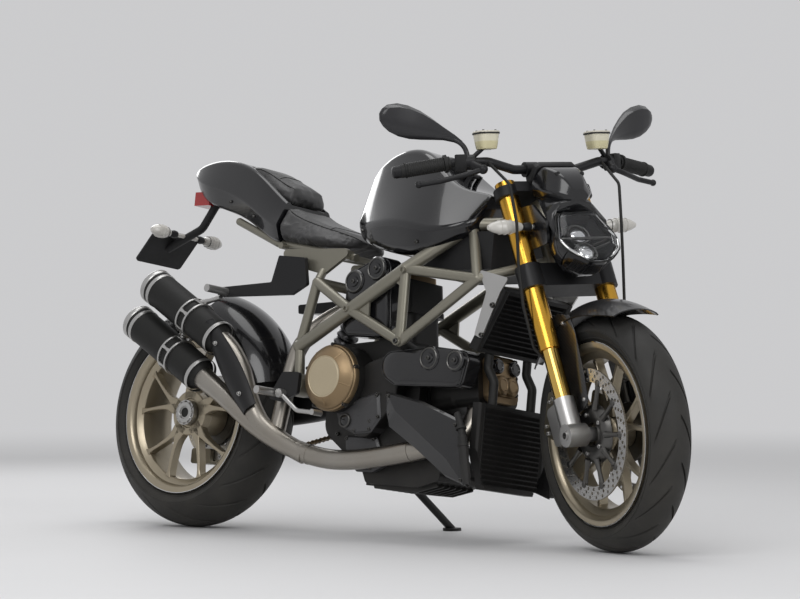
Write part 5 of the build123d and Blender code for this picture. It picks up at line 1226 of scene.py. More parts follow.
def touch(node, point, toward):
    """Point and outward direction where a line from a point first meets a node."""
    toward = toward.normalized()
    spot, normal, _, _ = skin(node).ray_cast(point, toward)
    if spot is None:
        raise RuntimeError(f"{node} is not met from {tuple(round(c, 3) for c in point)}")
    return spot, normal if normal.dot(toward) < 0 else -normal


def front(ahead, out, up):
    """Point from the front axle, in millimetres."""
    return FRONT_AXLE + Vector((ahead, out, up)) * MM


# Headlamp, tail lamp and turn signals
LAMP_CENTRE = (-85.0, 0.0, 497.0)
LAMP_OUT = Vector((0.777, 0, 0.631))
LAMP_UP = Vector((-0.631, 0, 0.777))
LAMP_ROWS = [(84, 53), (56, 66), (24, 78), (-4, 85), (-28, 82), (-46, 75), (-68, 42), (-84, 22)]


def lamp(out, up, deep):
    """Point of the headlamp: to the left, up its face and out of it, in millimetres."""
    return front(*LAMP_CENTRE) + (ACROSS * out + LAMP_UP * up + LAMP_OUT * deep) * MM


class MOTO_OT_lamps(bpy.types.Operator):
    """Inside of the headlamp, its bright brow, the tail lamp's bars and the turn signals' bulbs"""
    bl_idname = "moto.lamps"
    bl_label = "Lamps"

    def execute(self, context):
        inside = Shape()
        rings = []
        for share, deep in ((0.93, -6), (0.86, -20), (0.74, -44), (0.5, -62)):
            ring = [lamp(half * share, up * share, deep) for up, half in LAMP_ROWS]
            ring += [lamp(-half * share, up * share, deep) for up, half in reversed(LAMP_ROWS)]
            rings.append(ring)
        inside.grid(rings, wrap_columns=True)
        inside.cap(rings[-1])
        for up, radius in ((32, 27), (-26, 25)):
            centre = lamp(0, up, -58)
            r = radius * MM
            inside.lathe(
                [(r + 0.006, 0), (r + 0.007, 0.030), (r + 0.004, 0.034), (r, 0.033), (r - 0.001, 0.022)],
                centre, LAMP_OUT, 40, 1)
            glass_rows = [
                (r * math.cos(k * math.pi / 16), 0.024 + 0.55 * r * math.sin(k * math.pi / 16))
                for k in range(9)]
            inside.lathe(glass_rows, centre, LAMP_OUT, 40, 2)
        for side in (-1, 1):
            for up in (2, -10):
                inside.tube(
                    [lamp(side * 34, up, -34), lamp(side * 58, up + 3, -26), lamp(side * 74, up + 6, -18)],
                    0.0030, 8, finish=1)
        inside.tube(
            arc([lamp(-76, 4, -9), lamp(-30, 1, -7), lamp(30, 1, -7), lamp(76, 4, -9)], 8), 0.0042, 10,
            finish=1)
        inside.make("headlamp_inside", "front_end", "black_gloss", ["lamp_dark", "dark_steel", "chrome"])
        self.nose()
        brow = Shape()
        edge = [lamp(half + 2.6, up + (2.4 if up > 0 else -1.2), 1.4) for up, half in LAMP_ROWS]
        edge += [lamp(-half - 2.6, up + (2.4 if up > 0 else -1.2), 1.4) for up, half in reversed(LAMP_ROWS)]
        brow.tube(arc(edge + [edge[0]], 5), 0.0022, 8)
        brow.make("headlamp_gasket", "front_end", "black_gloss", ["hose"])
        tail_bars()
        return {"FINISHED"}

    def mesh_below(self, cover):
        """Crossed wires laid on the underside of the lamp's bowl."""
        outs = [-56 + 8 * k for k in range(15)]
        deeps = [-14 - 6 * k for k in range(8)]
        spots = {}
        for out in outs:
            for deep in deeps:
                spot, normal = touch("headlight_shell", lamp(out, -150, deep), LAMP_UP)
                spots[out, deep] = spot + normal * 0.0006
        lines = [[spots[out, deep] for deep in deeps] for out in outs]
        lines += [[spots[out, deep] for out in outs] for deep in deeps]
        for line in lines:
            cover.tube(line, 0.0010, 5, finish=2)

    def nose(self):
        """Panels that close the nose between visor, lamp and fork, the bright strips and the mesh below."""
        cover = Shape()
        for side in (-1, 1):
            top = [
                front(x, side * y, z)
                for x, y, z in (
                    (-118, 0, 596), (-119, 20, 596), (-133, 34, 597), (-176, 52, 600), (-222, 58, 606))]
            low = [
                lamp(0, 87, 1), lamp(side * 28, 87, 1), lamp(side * 55, 85, 0), lamp(side * 69, 56, -4),
                lamp(side * 82, 22, -10)]
            rows = []
            for k in range(7):
                t = k / 6
                swell = 0.007 * math.sin(math.pi * t)
                rows.append([
                    a.lerp(b, t) + LAMP_OUT * swell + ACROSS * side * swell * (n / 4)
                    for n, (a, b) in enumerate(zip(top, low))])
            cover.grid(rows)
            cover.grid([[p - LAMP_OUT * 0.003 for p in row] for row in rows])
            ups = [(56, 66), (24, 78), (-4, 85), (-28, 82), (-46, 75)]
            cheek = []
            for deep, grow, shift in ((1, 1.5, 0), (-10, 4.5, 0), (-34, 3.0, 2), (-62, -6.0, 6)):
                cheek.append([lamp(side * (half + grow), up + shift, deep) for up, half in ups])
            cover.grid(cheek)
            cover.grid([[p - ACROSS * side * 0.003 for p in row] for row in cheek])
            strip = [
                lamp(side * 84.5, -10, 3.2), lamp(side * 79, -34, 4.0), lamp(side * 64, -52, 4.6),
                lamp(side * 40, -71, 4.2)]
            cover.tube(arc(strip, 8), [0.0016] + [0.0040] * 14 + [0.0016] * 2, 10, finish=1)
        self.mesh_below(cover)
        cover.make("nose_cover", "front_end", "black_gloss", ["black_gloss", "chrome", "black_satin"], 45)


def tail_bars():
    """Ribs of the tail lamp's glass and rings on the turn signals."""
    ribs = Shape()
    for k in range(7):
        up = (k - 3) * 6.0
        points = []
        for out in (-22, -11, 0, 11, 22):
            spot, normal = touch("tail_light", mm(-1000, out, 952 + up), AHEAD)
            points.append(spot + normal * 0.0006)
        ribs.tube(points, 0.0013, 6)
    ribs.make("tail_lamp_ribs", "chassis", "red_lens", ["red_lens"])
    for name, node, body, root, stalk, length in (
        ("front_signal_rings", "front_indicators", "front_end", front(-201, 91.3, 532), 34, 96),
        ("rear_signal_rings", "rear_indicators", "chassis", mm(-880, 12.3, 845.6), 60, 70),
    ):
        rings = Shape()
        for side in (-1, 1):
            base = Vector((root.x, side * root.y, root.z))
            out = ACROSS * side
            rings.lathe(
                in_mm([(6, 4), (10.5, 6), (11.8, 16), (9.5, 28), (6, 30)]), base + out * (stalk - 34) * MM,
                out, 20)
            for share in (0.18, 0.34, 0.50, 0.66):
                ring = []
                middle = base + out * (stalk + share * length) * MM
                for k in range(24):
                    a = math.tau * k / 24
                    away = spoke(a)
                    spot, normal = touch(node, middle + away * 0.06, -away)
                    ring.append(spot + normal * 0.0004)
                rings.tube(ring, 0.0011, 6, closed=True, finish=1 if share > 0.2 else 0)
        rings.make(name, body, "clear_lens", ["black_satin", "clear_lens"])


# Handlebar and what is on it
BAR_LINE = [(-281, 168, 706), (-327, 250, 707), (-375, 376, 689)]
CUP_PLACE = (-285, 168, 738)
# Rings of a fluid cup, half width and height: fluid, clear wall, seal, lid
CUP_ROWS = [
    [(20.5, 0), (22.5, 0.8), (23.8, 3.5), (26.6, 21)],
    [(26.6, 21), (29.0, 39)],
    [(29.0, 39), (31.0, 39.4), (31.0, 42.6), (29.6, 43)],
    [(29.6, 43), (30.4, 43.4), (30.4, 45.4), (28.0, 47.4), (22.0, 48.2), (1.0, 48.4)],
]
MIRROR_STALK = [(-306, 213, 716), (-309, 214, 744), (-326, 236, 768), (-345, 262, 784)]
# Mirror sections: out, ahead, up, thickness, height; and the outline of a section
MIRROR_ROWS = [
    (224, -317, 757, 13, 13), (240, -329, 771, 17, 22), (262, -345, 785, 22, 36), (286, -358, 797, 28, 56),
    (312, -371, 808, 32, 75), (342, -381, 817, 34, 87), (370, -388, 824, 33, 86), (394, -394, 829, 28, 70),
    (408, -397, 831, 20, 47), (416, -399, 832, 10, 20),
]
MIRROR_EDGE = [(-0.18, 0.5), (0.05, 0.5), (0.5, 0.36), (0.5, 0.05), (0.44, -0.25), (0.25, -0.44), (0.0, -0.5),
               (-0.2, -0.44), (-0.26, -0.2), (-0.26, 0.2), (-0.24, 0.42)]


def rounded_ring(middle, half, steps=48):
    """Level ring of a square with rounded corners, its half width in millimetres."""
    ring = []
    for k in range(steps):
        c, s = math.cos(math.tau * k / steps), math.sin(math.tau * k / steps)
        ring.append(middle + Vector((c, s, 0)) * half * MM / (c ** 4 + s ** 4) ** 0.25)
    return ring


class MOTO_OT_cockpit(bpy.types.Operator):
    """Ribbed grips, bar ends, switch boxes, fluid cups, instrument and mirrors"""
    bl_idname = "moto.cockpit"
    bl_label = "Cockpit"

    def execute(self, context):
        ribs = Shape()
        switches = Shape()
        cups = Shape()
        for side in (-1, 1):
            root, inner, outer = [front(x, side * y, z) for x, y, z in BAR_LINE]
            run = (outer - inner).normalized()
            profile = [(0.0178, 0.004)]
            for k in range(19):
                at = 0.008 + k * 0.0058
                profile += [(0.0179, at), (0.0188, at + 0.0012), (0.0188, at + 0.0034), (0.0179, at + 0.0046)]
            profile += [(0.0180, 0.1185), (0.0202, 0.1195), (0.0202, 0.1225)]
            ribs.lathe(profile, inner, run, 28)
            ribs.lathe(
                in_mm([(12.5, 0), (15.8, 1), (16.5, 6), (15, 18), (10, 21), (0.1, 21)]), outer, run, 28, 1)
            toward = (inner - root).normalized()
            spot = root.lerp(inner, 0.74)
            ahead = toward.cross(UP).normalized()
            box = [
                (-0.019, -0.020), (0.019, -0.022), (0.022, -0.010), (0.021, 0.019), (0.008, 0.025),
                (-0.014, 0.023), (-0.021, 0.012)]
            switches.plate(box, spot - toward * 0.016, ahead, toward.cross(ahead), 0.032, 0, 0.003)
            for k, rise in enumerate((-0.010, 0.002, 0.013)):
                face = spot - ahead * 0.0205 * side + UP * rise
                switches.disc(face, -ahead * side, 0.0042, 0.005, 14, 1 if k else 2)
            cup = front(CUP_PLACE[0], side * CUP_PLACE[1], CUP_PLACE[2])
            for part, rows in enumerate(CUP_ROWS):
                rings = [rounded_ring(cup + UP * rise * MM, half) for half, rise in rows]
                cups.grid(rings, wrap_columns=True, finish=part)
            cups.cap(rounded_ring(cup, CUP_ROWS[0][0][0]))
            for x, y in ((-18, -18), (-18, 18), (18, -18), (18, 18)):
                cups.bolt(cup + Vector((x, y, 47.8)) * MM, UP, 0.0028, 0.0026, 4)
        ribs.make("grip_ribs", "front_end", "hose", ["hose", "black_satin"])
        switches.make("switch_boxes", "front_end", "black_satin", ["black_matte", "hose", "red_lens"])
        made = cups.make(
            "fluid_cups", "front_end", "reservoir",
            ["reservoir", "cup_white", "hose", "cap_cream", "dark_steel"], 35)
        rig.replaces(made, "fluid_reservoirs")
        self.instrument()
        self.mirrors()
        return {"FINISHED"}

    def instrument(self):
        """Instrument on two stays behind the visor."""
        dash = Shape()
        u, v, out = RIGHT, Vector((0.60, 0, 0.80)), Vector((-0.80, 0, 0.60))
        case = in_mm([(-60, -30), (60, -30), (66, -22), (62, 24), (50, 33), (-50, 33), (-62, 24), (-66, -22)])
        origin = front(-232, 0, 664)
        dash.plate(case, origin, u, v, 0.020, 0, 0.004)
        for side in (-1, 1):
            foot = origin + ACROSS * side * 0.036
            spot, _ = touch("nose_cowl", foot, AHEAD)
            dash.tube([foot + out * 0.002, spot + Vector((0.002, 0, 0))], 0.006, 12)
        screen = [(x * 0.82, y * 0.78) for x, y in case]
        dash.plate(screen, origin + out * 0.0196, u, v, 0.0014, 1, 0.0006)
        for k in range(9):
            x = k * 0.009 - 0.036
            mark = [(x, 0.008), (x + 0.0065, 0.008), (x + 0.0065, 0.0115), (x, 0.0115)]
            dash.plate(mark, origin + out * 0.0208, u, v, 0.0005, 2)
        for k in range(4):
            dash.disc(origin + u * (k * 0.014 - 0.021) - v * 0.018 + out * 0.0205, out, 0.003, 0.001, 12, 3)
        dash.make(
            "instrument", "front_end", "black_satin", ["black_matte", "lamp_glass", "silver", "rear_amber"])

    def mirrors(self):
        """Drop-shaped mirror heads that grow out of their stalks, with the glass on the back."""
        shells = Shape()
        for side in (-1, 1):
            stalk = arc([front(x, side * y, z) for x, y, z in MIRROR_STALK], 8)
            shells.tube(stalk, 0.0066, 14)
            rings, panes = [], []
            for out, ahead, up, thick, tall in MIRROR_ROWS:
                rings.append([front(ahead + thick * x, side * out, up + tall * z) for x, z in MIRROR_EDGE])
                if 280 < out < 412:
                    panes.append([
                        front(ahead - 0.26 * thick - 0.9, side * out, up + tall * (k / 8 - 0.5) * 0.80)
                        for k in range(9)])
            shells.grid(rings, wrap_columns=True)
            shells.cap(rings[0])
            shells.cap(rings[-1])
            shells.grid(panes, finish=1)
            shells.grid([[p + Vector((0.003, 0, 0)) for p in row] for row in panes], finish=1)
        made = shells.make("mirror_shells", "front_end", "mirror_shell", ["mirror_shell", "mirror_glass"])
        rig.replaces(made, "mirrors")


# Engine hardware
CLUTCH_PLACE = (-84, -170.3, 411)
# Clutch dome, radius and height: cone, then disc
CLUTCH_ROWS = [
    [(90, 0), (90, 12), (88.5, 15), (86, 16.5), (85, 21), (82, 25), (58, 41.5), (56, 42.2)],
    [(56, 42.2), (54.5, 42.4), (53.5, 41.4), (52, 41.6), (50, 42.8), (0.1, 43)],
]
CLUTCH_RIB = [(84, 22), (72, 31.5), (58, 41)]
PUMP_COVER = [(-86, 326), (-22, 352), (66, 376), (78, 312), (48, 274), (-12, 268), (-70, 290)]
LOW_CASE = [(-78, 262), (34, 262), (70, 190), (30, 172), (-26, 172), (-72, 214)]


class MOTO_OT_engine(bpy.types.Operator):
    """Clutch dome, case covers with the oil window, case screws and the front head cover's lobes"""
    bl_idname = "moto.engine"
    bl_label = "Engine"

    def execute(self, context):
        clutch = Shape()
        centre = mm(*CLUTCH_PLACE)
        for part, rows in enumerate(CLUTCH_ROWS):
            clutch.lathe(in_mm(rows), centre, RIGHT, 72, part)
        for away in spokes(5, 20 / 72):
            clutch.bolt(centre + away * 0.0905 + RIGHT * 0.006, RIGHT, 0.0050, 0.012, 2)
        for away in spokes(5, 56 / 72):
            rib = [centre + away * r + RIGHT * out for r, out in in_mm(CLUTCH_RIB)]
            clutch.tube(rib, 0.0016, 8)
        made = clutch.make("clutch_dome", "chassis", "bronze", ["bronze", "pale_bronze", "dark_steel"], 30)
        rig.replaces(made, "clutch_cover")
        self.castings()
        self.front_cover()
        screws = Shape()
        for x, z, radius in (
                (-110, 268, 6), (-40, 262, 6), (40, 300, 6), (60, 372, 6), (20, 470, 6), (-150, 470, 6)):
            spot, _ = touch("crankcase", mm(x, -300, z), ACROSS)
            screws.bolt(spot, RIGHT, radius * MM * 0.85, 0.008)
        screws.make("engine_screws", "chassis", "engine_cast", ["dark_steel"])
        return {"FINISHED"}

    def castings(self):
        """Pump cover with the oil window and the lower case cover, each with its rim and screws."""
        shape = Shape()
        face = -touch("crankcase", mm(0, -300, 320), ACROSS)[0].y / MM + 6
        for outline, inner, outer in ((PUMP_COVER, 100, face), (LOW_CASE, 92, 116)):
            mid_x = sum(x for x, _ in outline) / len(outline)
            mid_z = sum(z for _, z in outline) / len(outline)
            round_edge = round_outline(
                [(mid_x + (x - mid_x) * 0.84, mid_z + (z - mid_z) * 0.84, 9) for x, z in outline], 90)
            rings = []
            for scale, out in (
                    (1.0, inner), (1.0, outer - 9), (1.03, outer - 8), (1.03, outer - 5), (0.97, outer - 3),
                    (0.92, outer), (0.02, outer + 0.6)):
                rings.append([
                    mm(mid_x + (x - mid_x) * scale, -out, mid_z + (z - mid_z) * scale)
                    for x, z in round_edge])
            shape.grid(rings, wrap_columns=True)
            for x, z in outline:
                spot = mm(mid_x + (x - mid_x) * 0.87, -outer + 1.5, mid_z + (z - mid_z) * 0.87)
                shape.bolt(spot, RIGHT, 0.0042, 0.005, 1)
        window = mm(-44, 0.5 - face, 300)
        shape.lathe(in_mm([(19.5, 0), (19.5, 6), (18, 7.5), (15, 7.5), (14, 4.5)]), window, RIGHT, 36, 1)
        shape.lathe(in_mm([(14, 4.5), (10, 6), (5, 6.8), (0.1, 7)]), window, RIGHT, 36, 2)
        shape.make("case_covers", "chassis", "engine_cast", ["case_grey", "dark_steel", "black_gloss"], 35)

    def front_cover(self):
        """Round lobes, black cap and screws on the front cylinder's bronze cover."""
        shape = Shape()
        ahead = Vector((math.cos(math.radians(8)), 0, math.sin(math.radians(8))))
        for out, up, radius, part in ((-34, 22, 20, 1), (-20, -26, 26, 0), (34, 22, 20, 1), (20, -26, 26, 0)):
            spot, _ = touch("head_covers", mm(500, out, 440 + up), -AHEAD)
            rows = [
                (radius, -4), (radius, 7), (0.9 * radius, 10), (0.6 * radius, 11.5), (0.55 * radius, 10),
                (0.1, 10)]
            shape.lathe(in_mm(rows), spot, ahead, 36, part)
        for out in (-52, 52):
            for up in (-44, 0, 44):
                spot, _ = touch("head_covers", mm(500, out, 440 + up), -AHEAD)
                shape.bolt(spot, ahead, 0.0048, 0.006, 2)
        shape.make("cover_lobes", "chassis", "bronze", ["bronze", "black_gloss", "dark_steel"], 40)


# Panels on the engine's sides
FRONT_BELT = [(112, 446, 40), (132, 424, 30), (246, 466, 33), (334, 460, 30), (330, 416, 24)]
REAR_BELT = [(-46, 556, 30), (56, 552, 30), (-40, 672, 34), (36, 706, 34), (46, 660, 28)]
BELT_FACE = -157.8
PANEL_CORNERS = [(108, 378), (240, 352), (376, 304), (400, 240), (410, 136), (336, 160),
                 (232, 226), (126, 286), (112, 330)]
PANEL_RIDGE = [(158, -190, 326), (352, -197, 204)]
PANEL_SHARES = [0.0, 0.42, 0.80, 1.0, 1.0, 0.94, 0.48, 0.0, 0.0]


def round_outline(circles, steps=72):
    """Outline round a set of circles, each given by its middle and radius."""
    found = []
    for k in range(steps):
        a = math.tau * k / steps
        x, z, r = max(circles, key=lambda c: c[0] * math.cos(a) + c[1] * math.sin(a) + c[2])
        found.append((x + r * math.cos(a), z + r * math.sin(a)))
    return found


class MOTO_OT_panels(bpy.types.Operator):
    """Domed belt covers with pulley caps, and creased belly panels with the pipe along their front edge"""
    bl_idname = "moto.panels"
    bl_label = "Panels"

    def execute(self, context):
        domes = Shape()
        for circles, caps in ((FRONT_BELT, (2, 3)), (REAR_BELT, (2, 3))):
            outline = round_outline(circles)
            mid_x = sum(x for x, _ in outline) / len(outline)
            mid_z = sum(z for _, z in outline) / len(outline)
            rings = []
            for scale, rise in (
                    (0.985, -0.5), (0.985, 3), (0.96, 7), (0.90, 10), (0.78, 12), (0.5, 13.5), (0.02, 14)):
                rings.append([
                    mm(mid_x + (x - mid_x) * scale, BELT_FACE - rise, mid_z + (z - mid_z) * scale)
                    for x, z in outline])
            domes.grid(rings, wrap_columns=True)
            for k in caps:
                x, z, r = circles[k]
                cap = [
                    (r - 1, 6), (r - 1, 15), (r - 4, 18.5), (r - 8, 19.5), (r - 9, 17.5), (0.45 * r, 17.0),
                    (0.40 * r, 20), (0.1, 20.5)]
                domes.lathe(in_mm(cap), mm(x, BELT_FACE, z), RIGHT, 40)
                domes.lathe(
                    [
                        (0.0022 + (r - 6.5) * MM, 0.0192), ((r - 6.5) * MM, 0.0206),
                        (-0.0022 + (r - 6.5) * MM, 0.0192)],
                    mm(x, BELT_FACE, z), RIGHT, 40, 1)
                domes.bolt(mm(x, BELT_FACE - 20, z), RIGHT, 0.0055, 0.005, 1)
            domes.tube([point + RIGHT * 0.0004 for point in rings[2]], 0.0016, 8, closed=True)
        domes.make("belt_cover_domes", "chassis", "black_gloss", ["black_gloss", "dark_steel"], 35)
        self.belly()
        return {"FINISHED"}

    def belly(self):
        """Faceted panel on each side, its creases and the pipe along its front edge."""
        shape = Shape()
        for side in (-1, 1):
            out = ACROSS * side
            ring = [mm(x, side * 166.3, z) for x, z in PANEL_CORNERS]
            lip = [mm(x, side * 172, z) for x, z in PANEL_CORNERS]
            mid = [mm(236 + (x - 236) * 0.93, side * 178, 268 + (z - 268) * 0.93) for x, z in PANEL_CORNERS]
            ridge = [mm(*PANEL_RIDGE[0]).lerp(mm(*PANEL_RIDGE[1]), share) for share in PANEL_SHARES]
            ridge = [Vector((point.x, side * abs(point.y), point.z)) for point in ridge]
            shape.grid([ring, lip, mid, ridge], wrap_columns=True)
            shape.cap(ring)
            rod = arc(
                [
                    mm(360, side * 176, 322), mm(384, side * 186, 292), mm(398, side * 186, 230),
                    mm(412, side * 178, 142)],
                8)
            shape.tube(rod, [0.009] * 8 + [0.0125] * 8 + [0.0105] * (len(rod) - 16), 16, finish=1)
            for share in (0.30, 0.62):
                k = int(share * len(rod))
                along = (rod[k + 1] - rod[k]).normalized()
                shape.lathe(in_mm([(11, -4), (14.2, -3), (14.2, 3), (11, 4)]), rod[k], along, 20, finish=1)
            for k in (0, 2, 4):
                shape.bolt(mid[k].lerp(ridge[k], 0.12), out, 0.0045, 0.005, 2)
            shape.tube([mm(120, side * 96, 318), mm(150, side * 172, 312)], 0.009, 12)
        made = shape.make(
            "belly_panels", "chassis", "black_gloss", ["black_gloss", "black_matte", "dark_steel"], 12)
        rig.replaces(made, "belly_shrouds")


# Coolers
class MOTO_OT_coolers(bpy.types.Operator):
    """Folded fins and level tubes on the front of both coolers, and the screws of their side plates"""
    bl_idname = "moto.coolers"
    bl_label = "Coolers"

    def execute(self, context):
        fins = settings(context, "coolers")
        matrix = Shape()
        for centre, tall, tilt in ((mm(404, 0, 573), 0.176, 28.0), (mm(394, 0, 246), 0.220, 0.0)):
            a = math.radians(tilt)
            ahead = Vector((math.cos(a), 0, -math.sin(a)))
            up = Vector((math.sin(a), 0, math.cos(a)))
            probe, _ = touch("radiators", centre + ahead * 0.2, -ahead)
            depth = (probe - centre).dot(ahead)
            rows = int((tall - 0.012) / fins.tubes)
            half = 0.118
            for k in range(rows + 1):
                z = (k - rows / 2) * fins.tubes
                base = centre + up * z + ahead * (depth + 0.0004)
                outline = [(-0.0011, -half), (0.0011, -half), (0.0011, half), (-0.0011, half)]
                matrix.plate(outline, base, up, ACROSS, 0.0024, 1)
                if k == rows:
                    continue
                folds = int(2 * half / fins.spacing) * 2
                low, high = [], []
                for n in range(folds + 1):
                    y = -half + 2 * half * n / folds
                    edge = 0.0012 if n % 2 else fins.tubes - 0.0012
                    point = base + up * edge + ACROSS * y
                    low.append(point)
                    high.append(point + ahead * 0.0020)
                matrix.grid([low, high])
        matrix.make("cooler_fins", "chassis", "radiator", ["radiator", "black_satin"])
        screws = Shape()
        for side in (-1, 1):
            for x, z in ((425, 606), (397, 529)):
                spot, normal = touch("radiator_brackets", mm(x, side * 300, z), ACROSS * -side)
                screws.bolt(spot, normal, 0.006, 0.007)
        screws.make("cooler_screws", "chassis", "silver", ["dark_steel"])
        return {"FINISHED"}


# Exhaust
MUFFLER_FRONT = (-520.0, -172.0, 512.0)
MUFFLER_TILT = math.radians(29.0)
MUFFLER_LENGTH = 0.330
MUFFLER_SPACING = 0.118
CLAMP_BACK = 0.132
MUFFLER_BACK = Vector((-math.cos(MUFFLER_TILT), 0, math.sin(MUFFLER_TILT)))
MUFFLER_DOWN = Vector((-math.sin(MUFFLER_TILT), 0, -math.cos(MUFFLER_TILT)))


# Pipe routes: points, radius, and the muffler that they end in
PIPE_ROUTES = [
    (
        [
            (300, -24, 364), (300, -24, 280), (230, -136, 232), (0, -136, 196), (-150, -134, 196),
            (-320, -164, 250)],
        27, "lower"),
    ([(-190, -142, 206), (-320, -166, 256), (-388, -172, 338)], 27, "upper"),
    ([(-40, -24, 640), (-150, -24, 640), (-270, -110, 540), (-296, -126, 400), (-300, -150, 240)], 23, None),
]


class MOTO_OT_exhaust(bpy.types.Operator):
    """Bent pipes, muffler ends, openwork clamp and heat shield of the exhaust"""
    bl_idname = "moto.exhaust"
    bl_label = "Exhaust"

    def execute(self, context):
        ends = Shape()
        for low in (0.0, MUFFLER_SPACING):
            base = mm(*MUFFLER_FRONT) + MUFFLER_DOWN * low
            back = base + MUFFLER_BACK * MUFFLER_LENGTH
            ends.lathe(
                in_mm([(50.6, -14), (52.2, -12), (52.6, 0), (50.5, 3.5), (46, 4.5), (44, 3), (30, 2.2)]),
                back, MUFFLER_BACK, 56)
            ends.lathe(in_mm([(30, 2.2), (27, 8), (24, 9), (22.2, 7.8), (21.5, 1)]), back, MUFFLER_BACK, 40)
            # Black disc that closes the outlet a few millimetres in: painted shade for the depth of the open pipe
            ends.lathe(in_mm([(21.5, 1), (21.5, 0.6), (0.1, 0.6)]), back, MUFFLER_BACK, 40, 1)
            for k in range(6):
                a = math.tau * k / 6
                side, up = frame_of(MUFFLER_BACK)
                ends.bolt(
                    back + (side * math.cos(a) + up * math.sin(a)) * 0.0385 + MUFFLER_BACK * 0.003,
                    MUFFLER_BACK, 0.0030, 0.003)
            for at in (0.016, 0.300):
                ends.lathe(
                    [
                        (0.0502, at - 0.006), (0.0516, at - 0.005), (0.0522, at), (0.0516, at + 0.005),
                        (0.0502, at + 0.006)],
                    base, MUFFLER_BACK, 56)
        ends.make("muffler_ends", "chassis", "silver", ["silver", "hose", "muffler_black"])
        self.pipes()
        self.clamp()
        self.shield()
        return {"FINISHED"}

    def pipes(self):
        """Smoothly bent pipes of both cylinders, their collector and the cones into the mufflers."""
        shape = Shape()
        upper = mm(*MUFFLER_FRONT)
        lower = upper + MUFFLER_DOWN * MUFFLER_SPACING
        for route, radius, flare in PIPE_ROUTES:
            points = [mm(*point) for point in route]
            if flare:
                end = lower if flare == "lower" else upper
                points += [end - MUFFLER_BACK * 0.085, end - MUFFLER_BACK * 0.0003]
            line = arc(points, 14)
            reach = len(line)
            radii = [radius * MM] * reach
            if flare:
                for k in range(8):
                    radii[reach - 8 + k] = (radius + 4.5 * k / 7) * MM
            shape.tube(line, radii, 28)
            for share in (0.30, 0.62) if flare == "lower" else ():
                k = int(share * (reach - 2))
                along = (line[k + 1] - line[k]).normalized()
                band = in_mm([(radius - 1, -3), (radius + 1.2, -2), (radius + 1.2, 2), (radius - 1, 3)])
                shape.lathe(band, line[k], along, 28)
        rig.replaces(shape.make("bent_pipes", "chassis", "bare_steel", ["bare_steel"], 50), "exhaust_pipes")

    def clamp(self):
        """Openwork clamp round both mufflers, the link between its rings and the stay to the step arm."""
        shape = Shape()
        upper = mm(*MUFFLER_FRONT)
        side, rise = frame_of(MUFFLER_BACK)
        for low in (0.0, MUFFLER_SPACING):
            base = upper + MUFFLER_DOWN * low + MUFFLER_BACK * CLAMP_BACK
            for at in (-16, 16):
                hoop = [
                    (50.4, at - 3), (55, at - 3), (56, at - 2), (56, at + 2), (55, at + 3), (50.4, at + 3),
                    (50.4, at - 3)]
                shape.lathe(in_mm(hoop), base, MUFFLER_BACK, 64)
            for k in range(6):
                a = math.tau * (k + 0.25) / 6
                away = side * math.cos(a) + rise * math.sin(a)
                across = rise * math.cos(a) - side * math.sin(a)
                bar = [
                    (-0.006, -0.0165), (0.006, -0.0165), (0.0035, 0), (0.006, 0.0165), (-0.006, 0.0165),
                    (-0.0035, 0)]
                shape.plate(bar, base + away * 0.0505, across, MUFFLER_BACK, 0.0050, 0, 0.0006)
        middle = upper + MUFFLER_DOWN * (MUFFLER_SPACING / 2) + MUFFLER_BACK * CLAMP_BACK
        for at in (-0.014, 0.014):
            spot = middle + MUFFLER_BACK * at
            shape.tube([spot - MUFFLER_DOWN * 0.006, spot + MUFFLER_DOWN * 0.006], 0.006, 10)
        for out in (-0.018, 0.018):
            shape.bolt(middle + side * out - MUFFLER_BACK * 0.004, -MUFFLER_BACK, 0.0045, 0.006)
        start = upper + MUFFLER_BACK * CLAMP_BACK + mm(20, 0, 44)
        shape.tube(
            [start, start.lerp(mm(-540, -172, 635), 0.5), mm(-540, -172, 635.6)], [0.010, 0.007, 0.008], 12)
        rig.replaces(shape.make("muffler_clamp", "chassis", "silver", ["silver"], 40), "muffler_bracket")

    def shield(self):
        """Curved black blade outside the two pipes where they rise to the mufflers."""
        blade = Shape()
        rows = []
        for share in range(13):
            t = share / 12
            middle = mm(-366, -206, 322).lerp(mm(-548, -214, 560), t)
            half = 0.030 * (0.62 + 0.55 * math.sin(math.pi * min(1.0, 0.12 + 0.95 * t)))
            cross = Vector((-0.80, 0, -0.60))
            row = []
            for k in range(9):
                w = k / 4 - 1
                row.append(middle + cross * half * w + ACROSS * (0.012 * w * w))
            rows.append(row)
        blade.grid(rows)
        blade.grid([[p + ACROSS * 0.0025 for p in row] for row in rows])
        rim = rows[0] + [row[-1] for row in rows[1:-1]] + rows[-1][::-1] + [
            row[0]
            for row in reversed(rows[1:-1])]
        blade.tube([p + ACROSS * 0.00125 for p in rim], 0.0018, 8, closed=True)
        for k in (2, 9):
            blade.bolt(rows[k][4] + Vector((0, -0.001, 0)), RIGHT, 0.0050, 0.006, 1)
            blade.tube([rows[k][4] + ACROSS * 0.001, rows[k][4] + ACROSS * 0.020], 0.0060, 12, finish=1)
        blade.make("exhaust_shield", "chassis", "black_satin", ["black_satin", "silver"])


